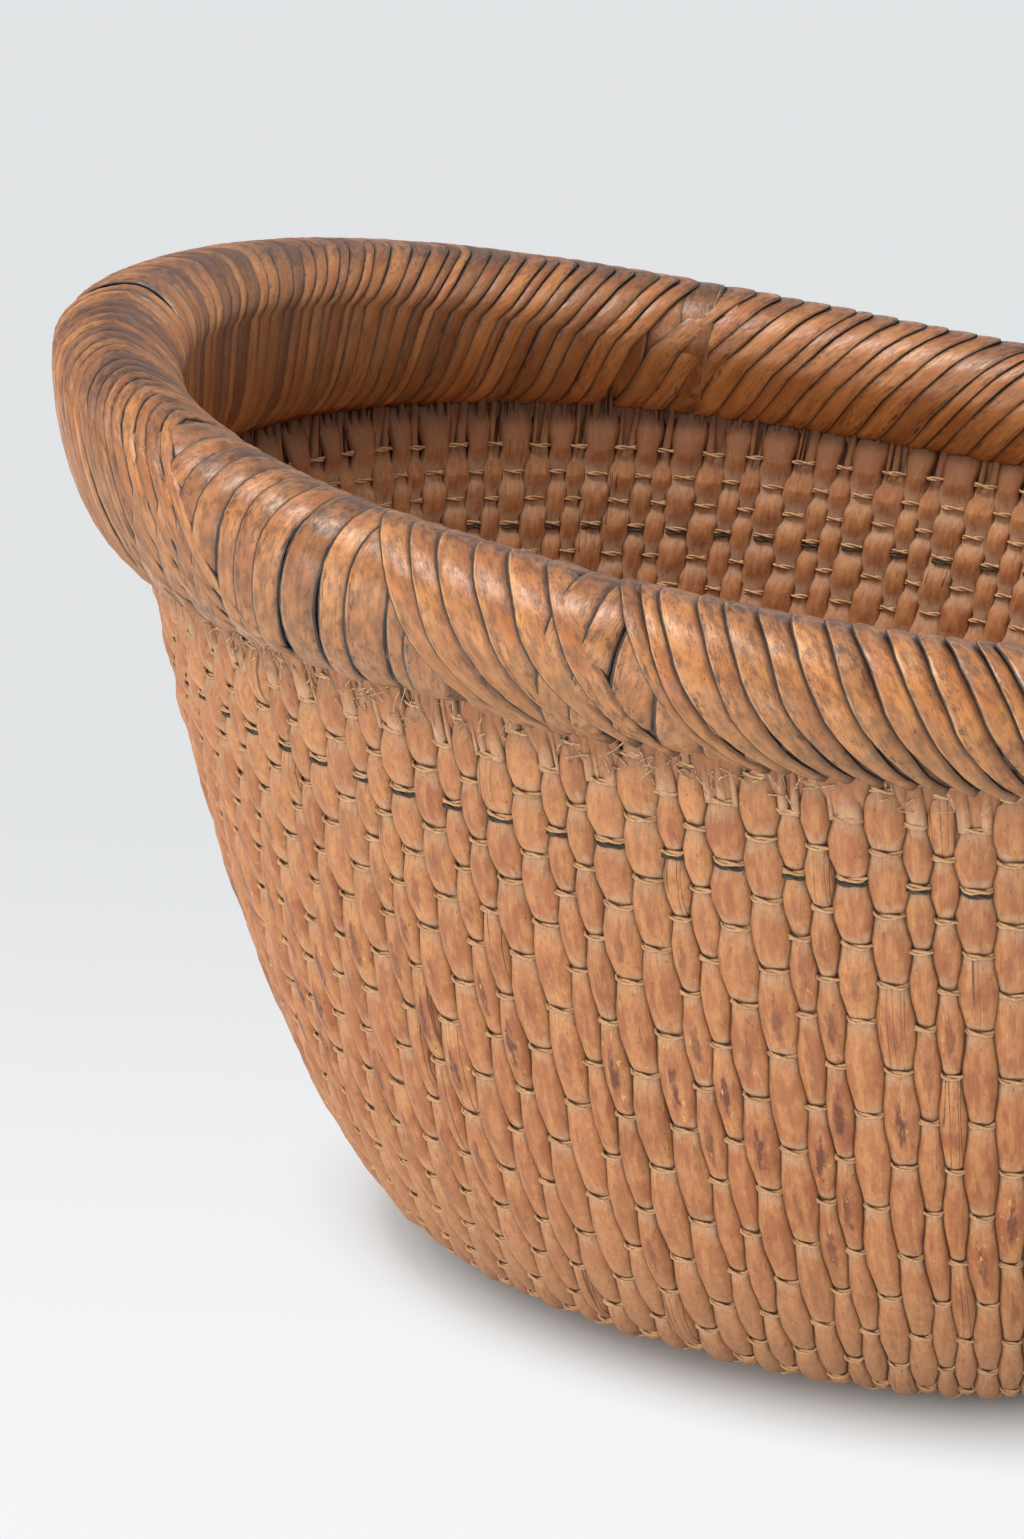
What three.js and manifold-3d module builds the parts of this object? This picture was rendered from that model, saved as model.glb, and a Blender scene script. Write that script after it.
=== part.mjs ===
// An oval willow basket: upright rods tied side by side by hemp cord, under a thick rim wrapped in splints.
// Millimetres, +Z up. The origin is on the floor under the middle of the basket, +X along its length.
import * as THREE from "three";
import Module from "manifold-3d";

const wasm = await Module();
wasm.setup();

// Plan of the rim: an oval between an ellipse (power 2) and a rectangle
const RIM_HALF_LENGTH = 183.5;
const RIM_HALF_WIDTH = 147;
const OVAL_POWER = 2.18;

// Height of the rim's path: both ends rise, and the end at -X is higher than the one at +X
const RIM_HEIGHT = 195.5;
const RIM_END_LIFT = 17;
const RIM_TIP = 13;

// Section of the wrapped rim, measured from its path
const RIM_INWARD = 7.3;
const RIM_HALF_THICKNESS = 16;
const RIM_ABOVE = 15.7;
const RIM_ABOVE_AT_ENDS = 8.7;
const RIM_BELOW = 17.7;
const RIM_BELOW_AT_ENDS = 28.7;
const RIM_BELOW_TIP = 8.5;
const RIM_ROLL = THREE.MathUtils.degToRad(18.4);
const RIM_LOWER_ROLL = THREE.MathUtils.degToRad(16);
const RIM_LOWER_ROLL_AT_HIGH_END = THREE.MathUtils.degToRad(-6.7);
const RIM_SIDES = 8;

// Wrapping: lengths of flat splint, each wound round the bundle in leaning turns
const WRAP_LENGTHS = 8;
const WRAP_TURNS = 10;
const WRAP_GAP = 0.95;
const WRAP_THICKNESS = 0.9;
const WRAP_LEAN = 9.5;
const WRAP_LEAST_GAP = 0.4;

// Bundle under the wrapping
const CORE_LENGTHS = 8;
const CORE_STEPS = 9;

// Wall: its outside leaves the base level and bends up to stand upright under the rim
const WALL_INSET_AT_TOP = 13.2;
const WALL_INSET_AT_BASE = 95.4;
const WALL_INSET_MORE_AT_ENDS = 4.1;
const WALL_TOP = 183;
const WALL_TOP_MORE_AT_ENDS = 5.2;
const WALL_THICKNESS = 6;
const BEND_AT_BASE = 0.57;
const BEND_AT_TOP = 0.1;

// Rods: two thick and two thin in turn, joined in groups, with a groove between neighbours. Depths are
// limited by a share of the rod's width
const ROD_GROUPS = 19;
const RODS = 156;
const RODS_OF_A_KIND = 2;
const FIRST_ROD_EDGE = 0.0027;
const THICK_ROD_SHARE = 1.15;
const THIN_ROD_SHARE = 0.85;
const GROOVE_DEPTH = 2.3;
const GROOVE_DEPTH_MOST = 0.36;
const ROD_LEAN = 0.09;
const ROD_SPREAD = 0.16;

// Flat panes across the inside of a group
const INNER_PANES = 3;

// Rows of ties, by their distance down the wall from its top. Every second rod is tied at a row and the
// others at the next: a tied rod is sunk and pinched, and its neighbours swell out
const TIE_ROWS = [31.6, 56, 65.8, 78, 90.6, 104, 117.3, 132, 146.5, 187];
const TIE_DEPTH = 1.2;
const TIE_DEPTH_MOST = 0.19;
const TIE_PINCH = 0.1;

// Cord: the rows of ties that have one, the first of them dark
const CORDED_ROWS = [0, 2, 5, 8, 9];
const CORD_RADIUS = 0.6;
const CORD_SIDES = 4;
const CORD_RODS_A_STEP = 2;

// Base: rods lying crosswise in groups
const BASE_GROUPS = 5;
const BASE_RODS_IN_GROUP = 6;
const BASE_THICKNESS = 6;
const BASE_ROD_ROUNDING = 1;
const BASE_EDGE_POINTS = 96;

// Clearance between pieces that touch, and the extra that faceted curves need
const CLEARANCE = 0.3;
const FACET_ALLOWANCE = 0.2;

const TURN = 2 * Math.PI;

const materials = {
  rod: new THREE.MeshStandardMaterial({ color: 0xb07a4c, roughness: 0.75, metalness: 0 }),
  base: new THREE.MeshStandardMaterial({ color: 0x9c6a42, roughness: 0.8, metalness: 0 }),
  bundle: new THREE.MeshStandardMaterial({ color: 0x7a5030, roughness: 0.85, metalness: 0 }),
  splint: new THREE.MeshStandardMaterial({ color: 0xa4703c, roughness: 0.5, metalness: 0 }),
  cord: new THREE.MeshStandardMaterial({ color: 0xb59468, roughness: 0.95, metalness: 0 }),
  darkCord: new THREE.MeshStandardMaterial({ color: 0x23262c, roughness: 0.95, metalness: 0 }),
};

const basket = new THREE.Group();
basket.name = "basket";

// Makes a named mesh from a list of points and a list of faces, each face a loop of point numbers
function addSolid(name, points, faces, material) {
  const geometry = new THREE.BufferGeometry();
  const corners = [];
  for (const face of faces) {
    for (let i = 1; i < face.length - 1; i++) {
      corners.push(face[0], face[i], face[i + 1]);
    }
  }
  geometry.setAttribute("position", new THREE.Float32BufferAttribute(points.flat(), 3));
  geometry.setIndex(corners);
  geometry.computeVertexNormals();
  const mesh = new THREE.Mesh(geometry, material);
  mesh.name = name;
  basket.add(mesh);
  return mesh;
}

// The rim's path round the plan

const power = (value, exponent) => Math.sign(value) * Math.abs(value) ** exponent;
const PLAN_POINTS = 2880;
const plan = [];
for (let i = 0; i <= PLAN_POINTS; i++) {
  const angle = (TURN * i) / PLAN_POINTS;
  const x = RIM_HALF_LENGTH * power(Math.cos(angle), 2 / OVAL_POWER);
  const y = RIM_HALF_WIDTH * power(Math.sin(angle), 2 / OVAL_POWER);
  const before = plan.at(-1);
  const along = before ? before.along + Math.hypot(x - before.x, y - before.y) : 0;
  plan.push({ x, y, along });
}
const RIM_LENGTH = plan.at(-1).along;

// A point of the path at a share of the way round, counterclockwise from +X, with the outward direction
function around(share) {
  const along = (share - Math.floor(share)) * RIM_LENGTH;
  let low = 0;
  let high = PLAN_POINTS;
  while (high - low > 1) {
    const middle = (low + high) >> 1;
    if (plan[middle].along > along) {
      high = middle;
    } else {
      low = middle;
    }
  }
  const part = (along - plan[low].along) / (plan[high].along - plan[low].along);
  const x = THREE.MathUtils.lerp(plan[low].x, plan[high].x, part);
  const y = THREE.MathUtils.lerp(plan[low].y, plan[high].y, part);
  const slopeX = power(x / RIM_HALF_LENGTH, OVAL_POWER - 1) / RIM_HALF_LENGTH;
  const slopeY = power(y / RIM_HALF_WIDTH, OVAL_POWER - 1) / RIM_HALF_WIDTH;
  const steepness = Math.hypot(slopeX, slopeY);
  const end = (x / RIM_HALF_LENGTH) ** 2;
  return { x, y, outX: slopeX / steepness, outY: slopeY / steepness, end };
}

// The point at a distance outward from the path and a height above the floor
function placed(spot, outward, height) {
  return [spot.x + spot.outX * outward, spot.y + spot.outY * outward, height];
}

// The wrapped rim's section at a place round the path, as corners of outward distance and height. It reaches
// further down at the high end, where it still meets the wall, and its lower half leans in there

function rimHeight(spot) {
  return RIM_HEIGHT + RIM_END_LIFT * spot.end - (RIM_TIP * spot.x) / RIM_HALF_LENGTH;
}

function rimCorner(spot, angle, skin) {
  const tip = -spot.x / RIM_HALF_LENGTH;
  const highEnd = (spot.end * (1 + tip)) / 2;
  const above = THREE.MathUtils.lerp(RIM_ABOVE, RIM_ABOVE_AT_ENDS, spot.end);
  const below = THREE.MathUtils.lerp(RIM_BELOW, RIM_BELOW_AT_ENDS, spot.end) + RIM_BELOW_TIP * tip;
  const lower = Math.sin(angle) < 0;
  const lowerRoll = THREE.MathUtils.lerp(RIM_LOWER_ROLL, RIM_LOWER_ROLL_AT_HIGH_END, highEnd);
  const roll = lower ? lowerRoll : RIM_ROLL;
  const across = (RIM_HALF_THICKNESS - skin) * Math.cos(angle);
  const up = ((lower ? below : above) - skin) * Math.sin(angle);
  return {
    outward: across * Math.cos(RIM_ROLL) - up * Math.sin(roll) - RIM_INWARD,
    height: rimHeight(spot) + across * Math.sin(RIM_ROLL) + up * Math.cos(roll),
  };
}

function rimPoint(share, side, skin) {
  const spot = around(share);
  const corner = rimCorner(spot, (TURN * side) / RIM_SIDES, skin);
  return placed(spot, corner.outward, corner.height);
}

// Height of the rim's underside over a place at an outward distance
function rimUnderside(spot, outward) {
  let lowest = Infinity;
  for (let side = 0; side < RIM_SIDES; side++) {
    const a = rimCorner(spot, (TURN * side) / RIM_SIDES, 0);
    const b = rimCorner(spot, (TURN * (side + 1)) / RIM_SIDES, 0);
    const part = (outward - a.outward) / (b.outward - a.outward);
    if (part >= 0 && part <= 1) {
      lowest = Math.min(lowest, THREE.MathUtils.lerp(a.height, b.height, part));
    }
  }
  return lowest;
}

// The wall's outside, from the base edge (0) to the top (1), as inset from the path and share of its height

function wallProfile(part) {
  const rest = 1 - part;
  const depth = WALL_INSET_AT_BASE - WALL_INSET_AT_TOP;
  const weights = [rest ** 3, 3 * rest * rest * part, 3 * rest * part * part, part ** 3];
  const insets = [depth, depth * (1 - BEND_AT_BASE), 0, 0];
  const heights = [0, 0, 1 - BEND_AT_TOP, 1];
  const slopes = [-rest * rest, rest * (rest - 2 * part), part * (2 * rest - part), part * part].map(
    (slope) => 3 * slope,
  );
  const sum = (values, by) => values.reduce((total, value, i) => total + value * by[i], 0);
  return {
    inset: sum(insets, weights),
    height: sum(heights, weights),
    insetSlope: sum(insets, slopes),
    heightSlope: sum(heights, slopes),
  };
}

// A point of the wall, lifted off its outside by a distance (inward where negative)
function wallPoint(share, part, lift) {
  const spot = around(share);
  const depth = WALL_INSET_AT_BASE - WALL_INSET_AT_TOP;
  const widen = 1 + (WALL_INSET_MORE_AT_ENDS / depth) * spot.end;
  const top = WALL_TOP + WALL_TOP_MORE_AT_ENDS * spot.end;
  const at = wallProfile(part);
  const rise = at.heightSlope * top;
  const run = at.insetSlope * widen;
  const length = Math.hypot(rise, run);
  const outward = -WALL_INSET_AT_TOP - at.inset * widen + (lift * rise) / length;
  return placed(spot, outward, at.height * top + (lift * run) / length);
}

// A point of the wall's top edge, just under the wrapped rim
function wallTopPoint(share, lift) {
  const spot = around(share);
  const outside = -WALL_INSET_AT_TOP;
  const inside = outside - WALL_THICKNESS;
  const high = rimUnderside(spot, outside);
  const low = rimUnderside(spot, inside);
  const slope = (high - low) / (outside - inside);
  let poke = 0;
  for (let side = 0; side < RIM_SIDES; side++) {
    const corner = rimCorner(spot, (TURN * side) / RIM_SIDES, 0);
    if (corner.outward > inside && corner.outward < outside && corner.height < rimHeight(spot)) {
      poke = Math.max(poke, low + slope * (corner.outward - inside) - corner.height);
    }
  }
  const height = low + slope * (outside + lift - inside) - poke - CLEARANCE - FACET_ALLOWANCE;
  return placed(spot, outside + lift, height);
}

// The share of the profile at a distance down the wall from its top
const PROFILE_POINTS = 400;
function partAtDistance(distance) {
  let left = distance;
  let before = wallProfile(1);
  for (let i = PROFILE_POINTS - 1; i > 0; i--) {
    const part = i / PROFILE_POINTS;
    const at = wallProfile(part);
    left -= Math.hypot(at.inset - before.inset, (at.height - before.height) * WALL_TOP);
    before = at;
    if (left <= 0) {
      return part;
    }
  }
  return 0;
}

// Rods lean one way round, and on the long sides they stay nearly parallel on their way down
const rimStepMm = 1 / RIM_LENGTH;
function rodShare(share, part) {
  const quarter = 0.25;
  const fromSide = ((share * 2) % 1) / 2 - quarter;
  const reach = fromSide / quarter;
  const down = 1 - wallProfile(part).height;
  const inwards = wallProfile(part).inset / (WALL_INSET_AT_BASE - WALL_INSET_AT_TOP);
  const spread = fromSide * ROD_SPREAD * inwards * (1 - reach * reach);
  return share + spread + ROD_LEAN * down * WALL_TOP * rimStepMm;
}

// Edges of the rods round the rim, as shares of the way
const rodEdges = [0];
for (let rod = 0; rod < RODS; rod++) {
  const thick = (rod + 1) % (2 * RODS_OF_A_KIND) < RODS_OF_A_KIND;
  const width = thick ? THICK_ROD_SHARE : THIN_ROD_SHARE;
  rodEdges.push(rodEdges.at(-1) + width);
}
const allRods = rodEdges.at(-1);
rodEdges.forEach((edge, i) => {
  rodEdges[i] = FIRST_ROD_EDGE + edge / allRods;
});

// Lines up the wall: an even one is the groove before a rod, an odd one is that rod's crown
function rodLine(line) {
  const rod = Math.floor(line / 2);
  if (line % 2 === 0) {
    return rodEdges[rod];
  }
  return (rodEdges[rod] + rodEdges[rod + 1]) / 2;
}

// Heights at which the wall has a ring of points: the base edge, the rows of ties and the top
const rings = [{ part: 0 }];
for (let row = TIE_ROWS.length - 1; row >= 0; row--) {
  rings.push({ part: partAtDistance(TIE_ROWS[row]), row });
}
rings.push({ part: 1 });
const TOP_RING = rings.length - 1;

function isTied(rod, row) {
  return (rod + row) % 2 === 1;
}

function distance(a, b) {
  return Math.hypot(a[0] - b[0], a[1] - b[1], a[2] - b[2]);
}

// How far along the wall one whole way round would be, at the scale of a place
function stretchAt(share, part) {
  const probe = 2 * rimStepMm;
  return distance(wallPoint(share, part, 0), wallPoint(share + probe, part, 0)) / probe;
}

// One point of the wall's outside. A group's outer lines stay half a clearance inside its edges
function outerPoint(line, ring, nudge) {
  const { part, row } = rings[ring];
  const rod = Math.floor(line / 2);
  const onGroove = line % 2 === 0;
  const tied = row !== undefined && isTied(rod, row);
  let pinch = 0;
  if (onGroove && row !== undefined) {
    pinch = (tied ? TIE_PINCH : -TIE_PINCH) / RODS;
  }
  const here = rodShare(rodLine(line), part);
  const stretch = stretchAt(here, part);
  const rodWidth = stretch / RODS;
  let depth = 0;
  if (onGroove) {
    depth = Math.min(GROOVE_DEPTH, GROOVE_DEPTH_MOST * rodWidth);
  } else if (tied) {
    depth = Math.min(TIE_DEPTH, TIE_DEPTH_MOST * rodWidth);
  }
  const share = here + pinch + (nudge * CLEARANCE) / 2 / stretch;
  return ring === TOP_RING ? wallTopPoint(share, -depth) : wallPoint(share, part, -depth);
}

function innerPoint(line, ring, nudge) {
  const { part } = rings[ring];
  const here = rodShare(rodLine(line), part);
  const share = here + (nudge * CLEARANCE) / 2 / stretchAt(here, part);
  return ring === TOP_RING ? wallTopPoint(share, -WALL_THICKNESS) : wallPoint(share, part, -WALL_THICKNESS);
}

// Triangles that close the end between the outer and the inner points of a ring
function endFaces(outer, inner) {
  const outerSteps = outer.length - 1;
  const innerSteps = inner.length - 1;
  const faces = [];
  let i = 0;
  let j = 0;
  while (i < outerSteps || j < innerSteps) {
    const outerNext = i < outerSteps ? (i + 1) / outerSteps : Infinity;
    const innerNext = j < innerSteps ? (j + 1) / innerSteps : Infinity;
    if (outerNext <= innerNext) {
      faces.push([inner[j], outer[i + 1], outer[i]]);
      i += 1;
    } else {
      faces.push([inner[j], inner[j + 1], outer[i]]);
      j += 1;
    }
  }
  return faces;
}

function firstRod(group) {
  return Math.round((group * RODS) / ROD_GROUPS);
}

function addRodGroup(group) {
  const firstLine = 2 * firstRod(group);
  const lines = 2 * firstRod(group + 1) - firstLine;
  const points = [];
  const outer = [];
  const inner = [];
  for (let ring = 0; ring <= TOP_RING; ring++) {
    outer.push([]);
    inner.push([]);
    for (let i = 0; i <= lines; i++) {
      const nudge = i === 0 ? 1 : i === lines ? -1 : 0;
      outer[ring].push(points.length);
      points.push(outerPoint(firstLine + i, ring, nudge));
    }
    for (let pane = 0; pane <= INNER_PANES; pane++) {
      const nudge = pane === 0 ? 1 : pane === INNER_PANES ? -1 : 0;
      inner[ring].push(points.length);
      points.push(innerPoint(firstLine + Math.round((pane * lines) / INNER_PANES), ring, nudge));
    }
  }
  const faces = [];
  for (let ring = 0; ring < TOP_RING; ring++) {
    for (let i = 0; i < lines; i++) {
      faces.push([outer[ring][i], outer[ring][i + 1], outer[ring + 1][i + 1], outer[ring + 1][i]]);
    }
    for (let i = 0; i < INNER_PANES; i++) {
      faces.push([inner[ring][i], inner[ring + 1][i], inner[ring + 1][i + 1], inner[ring][i + 1]]);
    }
    const last = INNER_PANES;
    faces.push([outer[ring][0], outer[ring + 1][0], inner[ring + 1][0], inner[ring][0]]);
    faces.push([outer[ring][lines], inner[ring][last], inner[ring + 1][last], outer[ring + 1][lines]]);
  }
  faces.push(...endFaces(outer[0], inner[0]));
  for (const face of endFaces(outer[TOP_RING], inner[TOP_RING])) {
    faces.push(face.reverse());
  }
  const number = String(group + 1).padStart(2, "0");
  return addSolid(`wall_rods_${number}`, points, faces, materials.rod);
}

// A closed cord row, resting on the crowns of the rods that aren't tied there
function addCordRow(name, row, material) {
  const steps = RODS / CORD_RODS_A_STEP;
  const { part } = rings.find((ring) => ring.row === row);
  const first = isTied(0, row) ? 1 : 0;
  const points = [];
  const faces = [];
  for (let i = 0; i < steps; i++) {
    const share = rodShare(rodLine(2 * (first + i * CORD_RODS_A_STEP) + 1), part);
    const spot = around(share);
    const out = wallPoint(share, part, CORD_RADIUS + CLEARANCE + FACET_ALLOWANCE);
    const on = wallPoint(share, part, 0);
    const lean = Math.atan2(out[2] - on[2], Math.hypot(out[0] - on[0], out[1] - on[1]));
    for (let side = 0; side < CORD_SIDES; side++) {
      const angle = (TURN * side) / CORD_SIDES + lean;
      const outward = CORD_RADIUS * Math.cos(angle);
      const up = CORD_RADIUS * Math.sin(angle);
      points.push([out[0] + spot.outX * outward, out[1] + spot.outY * outward, out[2] + up]);
      const next = (side + 1) % CORD_SIDES;
      const after = (i + 1) % steps;
      const here = i * CORD_SIDES;
      const there = after * CORD_SIDES;
      faces.push([here + side, there + side, there + next, here + next]);
    }
  }
  return addSolid(name, points, faces, material);
}

// Closes a tube of four or more corners a section: sections is a list of lists of points
function addTube(name, sections, material) {
  const sides = sections[0].length;
  const points = sections.flat();
  const faces = [];
  for (let i = 0; i < sections.length - 1; i++) {
    for (let side = 0; side < sides; side++) {
      const next = (side + 1) % sides;
      const here = i * sides;
      const there = here + sides;
      faces.push([here + side, there + side, there + next, here + next]);
    }
  }
  const last = (sections.length - 1) * sides;
  const numbers = [...Array(sides).keys()];
  faces.push(numbers);
  faces.push(numbers.map((side) => last + side).reverse());
  return addSolid(name, points, faces, material);
}

// A length of the bundle under the wrapping
function addCore(length) {
  const skin = WRAP_THICKNESS + CLEARANCE + FACET_ALLOWANCE;
  const halfGap = (CLEARANCE / 2) * rimStepMm;
  const from = length / CORE_LENGTHS + halfGap;
  const to = (length + 1) / CORE_LENGTHS - halfGap;
  const sections = [];
  for (let i = 0; i <= CORE_STEPS; i++) {
    const share = THREE.MathUtils.lerp(from, to, i / CORE_STEPS);
    const section = [];
    for (let side = 0; side < RIM_SIDES; side++) {
      section.push(rimPoint(share, side, skin));
    }
    sections.push(section);
  }
  return addTube(`rim_core_${length + 1}`, sections, materials.bundle);
}

// The middle of a winding's splint at a step, as a share of the way round the rim
function wrapShare(length, step) {
  const pitch = 1 / (WRAP_LENGTHS * WRAP_TURNS);
  const lean = -WRAP_LEAN * Math.sin((TURN * step) / RIM_SIDES) * rimStepMm;
  return length / WRAP_LENGTHS + (pitch * step) / RIM_SIDES + lean;
}

function wrapSection(length, step) {
  const pitch = 1 / (WRAP_LENGTHS * WRAP_TURNS);
  const half = (pitch - WRAP_GAP * rimStepMm) / 2;
  const middle = wrapShare(length, step);
  return [
    rimPoint(middle - half, step, WRAP_THICKNESS),
    rimPoint(middle + half, step, WRAP_THICKNESS),
    rimPoint(middle + half, step, 0),
    rimPoint(middle - half, step, 0),
  ];
}

// The least distance from a point to a stretch between two others
function distanceToStretch(point, from, to) {
  const a = new THREE.Vector3(...from);
  const line = new THREE.Line3(a, new THREE.Vector3(...to));
  const p = new THREE.Vector3(...point);
  return line.closestPointToPoint(p, true, new THREE.Vector3()).distanceTo(p);
}

// A winding starts on the inner side of the rim's underside and keeps one step short of the next one
const WRAP_FIRST_STEP = 5;
function addWrap(length) {
  const steps = WRAP_TURNS * RIM_SIDES - 1;
  const sections = [];
  for (let i = 0; i <= steps; i++) {
    sections.push(wrapSection(length, WRAP_FIRST_STEP + i));
  }
  let least = Infinity;
  for (let i = 0; i + RIM_SIDES < steps; i++) {
    for (const corner of [1, 2]) {
      const far = sections[i + RIM_SIDES][corner === 1 ? 0 : 3];
      const next = sections[i + RIM_SIDES + 1][corner === 1 ? 0 : 3];
      least = Math.min(least, distanceToStretch(sections[i][corner], far, next));
    }
  }
  console.log(`rim_wrap_${length + 1}: ${WRAP_TURNS} turns, least gap to itself ${least.toFixed(2)} mm`);
  if (least <= WRAP_LEAST_GAP) {
    throw new Error(`rim_wrap_${length + 1} comes closer to itself than ${WRAP_LEAST_GAP} mm`);
  }
  return addTube(`rim_wrap_${length + 1}`, sections, materials.splint);
}

// Base: a ribbed slab of crosswise rods, cut to the oval inside the wall's lower edge

function manifoldOf(geometry) {
  const vertProperties = new Float32Array(geometry.getAttribute("position").array);
  const triVerts = new Uint32Array(vertProperties.length / 3).map((_, i) => i);
  const mesh = new wasm.Mesh({ numProp: 3, vertProperties, triVerts });
  mesh.merge();
  return new wasm.Manifold(mesh);
}

function extruded(points, depth) {
  const shape = new THREE.Shape(points.map(([x, y]) => new THREE.Vector2(x, y)));
  const geometry = new THREE.ExtrudeGeometry(shape, { depth, bevelEnabled: false });
  return geometry.index ? geometry.toNonIndexed() : geometry;
}

function baseOval() {
  const points = [];
  for (let i = 0; i < BASE_EDGE_POINTS; i++) {
    const share = i / BASE_EDGE_POINTS;
    const spot = around(share);
    const edge = wallPoint(share, 0, 0);
    const inset = CLEARANCE + FACET_ALLOWANCE;
    points.push([edge[0] - spot.outX * inset, edge[1] - spot.outY * inset]);
  }
  return points;
}

function addBase() {
  const oval = baseOval();
  const halfLength = Math.max(...oval.map((point) => point[0]));
  const halfWidth = Math.max(...oval.map((point) => point[1]));
  const plate = manifoldOf(extruded(oval, BASE_THICKNESS));
  const rodWidth = (2 * halfLength) / (BASE_GROUPS * BASE_RODS_IN_GROUP);
  for (let group = 0; group < BASE_GROUPS; group++) {
    const left = -halfLength + group * BASE_RODS_IN_GROUP * rodWidth + CLEARANCE / 2;
    const right = left + BASE_RODS_IN_GROUP * rodWidth - CLEARANCE;
    const rib = (right - left) / BASE_RODS_IN_GROUP;
    const outline = [[right, 0]];
    for (let i = 2 * BASE_RODS_IN_GROUP; i >= 0; i--) {
      const drop = i % 2 === 0 ? BASE_ROD_ROUNDING : 0;
      outline.push([left + (i * rib) / 2, BASE_THICKNESS - drop]);
    }
    outline.push([left, 0]);
    const rods = extruded(outline, 2 * halfWidth);
    rods.rotateX(Math.PI / 2);
    rods.translate(0, halfWidth, 0);
    const cut = manifoldOf(rods).intersect(plate).getMesh();
    const geometry = new THREE.BufferGeometry();
    geometry.setAttribute("position", new THREE.BufferAttribute(cut.vertProperties, cut.numProp));
    geometry.setIndex(new THREE.BufferAttribute(cut.triVerts, 1));
    const mesh = new THREE.Mesh(geometry, materials.base);
    mesh.name = `base_rods_${group + 1}`;
    basket.add(mesh);
  }
}

// Assembly

addBase();
for (let group = 0; group < ROD_GROUPS; group++) {
  addRodGroup(group);
}
CORDED_ROWS.forEach((row, i) => {
  const dark = i === 0;
  const name = dark ? "cord_row_dark" : `cord_row_${i + 1}`;
  addCordRow(name, row, dark ? materials.darkCord : materials.cord);
});
for (let length = 0; length < CORE_LENGTHS; length++) {
  addCore(length);
}
for (let length = 0; length < WRAP_LENGTHS; length++) {
  addWrap(length);
}

export default basket;
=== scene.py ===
# %% [markdown]
# # An oval willow basket
#
# Upright willow rods stand side by side round an oval bottom. Rows of two-ply hemp cord tie them, passing in
# front of one rod and behind the next. A fat bundle closes the top, wound with flat splints of willow.
# The imported model already has every piece as a plain solid at its real place. This lesson dresses it: each
# solid is replaced by the finer piece that a maker would see. It starts by loading the model.

# %% Load the model and keep its solids
import math

import bpy
import numpy as np
from mathutils import Matrix, Vector


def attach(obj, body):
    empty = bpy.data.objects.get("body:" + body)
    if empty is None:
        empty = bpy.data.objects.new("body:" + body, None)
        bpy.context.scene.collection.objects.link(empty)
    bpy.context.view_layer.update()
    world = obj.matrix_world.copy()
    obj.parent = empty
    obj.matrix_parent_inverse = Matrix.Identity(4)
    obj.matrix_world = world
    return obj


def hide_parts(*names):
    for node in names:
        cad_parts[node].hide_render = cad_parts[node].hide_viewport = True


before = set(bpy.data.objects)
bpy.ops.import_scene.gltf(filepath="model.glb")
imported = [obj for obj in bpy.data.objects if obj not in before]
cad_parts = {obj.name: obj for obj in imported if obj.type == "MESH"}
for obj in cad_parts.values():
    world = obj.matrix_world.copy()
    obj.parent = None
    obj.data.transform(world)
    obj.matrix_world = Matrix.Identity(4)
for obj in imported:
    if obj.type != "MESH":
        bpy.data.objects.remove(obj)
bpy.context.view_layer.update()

MM = 0.001

# %% [markdown]
# ## The camera
#
# A photograph can be taken again only from where it was taken. The basket's rim is an oval of known plan, so
# the way it is squashed and tilted in the picture gives the camera's height, turn and distance. The basket
# is turned by the yaw, seen from above by the pitch, and the camera itself hangs a little askew by the roll.
# The lens is given by the focal length in pixels of a picture 1539 pixels high.

# %% Place the camera
CAMERA_YAW, CAMERA_PITCH, CAMERA_ROLL = (math.radians(angle) for angle in (-24.34, 18.86, -2.46))
CAMERA_SHIFT = (77.16, -121.02, 813.25)
PICTURE_HEIGHT = 1539
FOCAL_PIXELS = 3220
SENSOR_HEIGHT = 24
NEAREST_SEEN, FARTHEST_SEEN = 0.01, 60


def new_object(name, data):
    made = bpy.data.objects.new(name, data)
    bpy.context.scene.collection.objects.link(made)
    return made


level = Vector((math.cos(CAMERA_YAW), -math.sin(CAMERA_YAW), 0))
away = Vector((math.sin(CAMERA_YAW), math.cos(CAMERA_YAW), 0))
upward = away * math.sin(CAMERA_PITCH) + Vector((0, 0, math.cos(CAMERA_PITCH)))
forward = away * math.cos(CAMERA_PITCH) - Vector((0, 0, math.sin(CAMERA_PITCH)))
side_axis = level * math.cos(CAMERA_ROLL) - upward * math.sin(CAMERA_ROLL)
top_axis = level * math.sin(CAMERA_ROLL) + upward * math.cos(CAMERA_ROLL)
stand = -(level * CAMERA_SHIFT[0] + upward * CAMERA_SHIFT[1] + forward * CAMERA_SHIFT[2]) * MM

lens = bpy.data.cameras.new("camera")
lens.sensor_fit = "VERTICAL"
lens.sensor_height = SENSOR_HEIGHT
lens.lens = FOCAL_PIXELS * SENSOR_HEIGHT / PICTURE_HEIGHT
lens.clip_start = NEAREST_SEEN
lens.clip_end = FARTHEST_SEEN
camera = new_object("camera", lens)
turn = Matrix((side_axis, top_axis, -forward)).transposed().to_4x4()
camera.matrix_world = Matrix.Translation(stand) @ turn
bpy.context.scene.camera = camera
print("camera stands at", [round(v, 3) for v in stand], "lens", round(lens.lens, 1), "mm")

# %% [markdown]
# ## The plan, the rim and the wall as formulas
#
# A basket maker works from a few measures: the oval of the rim, how the rim's ends rise, how fat the rim is,
# and how the wall bends in towards the bottom. The same measures made the plain solids, so the same formulas
# give every later piece its place. They work on whole arrays of numbers at once, in millimetres. A place
# round the basket is a share from 0 to 1, counterclockwise from the lower end of the rim.

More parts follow.
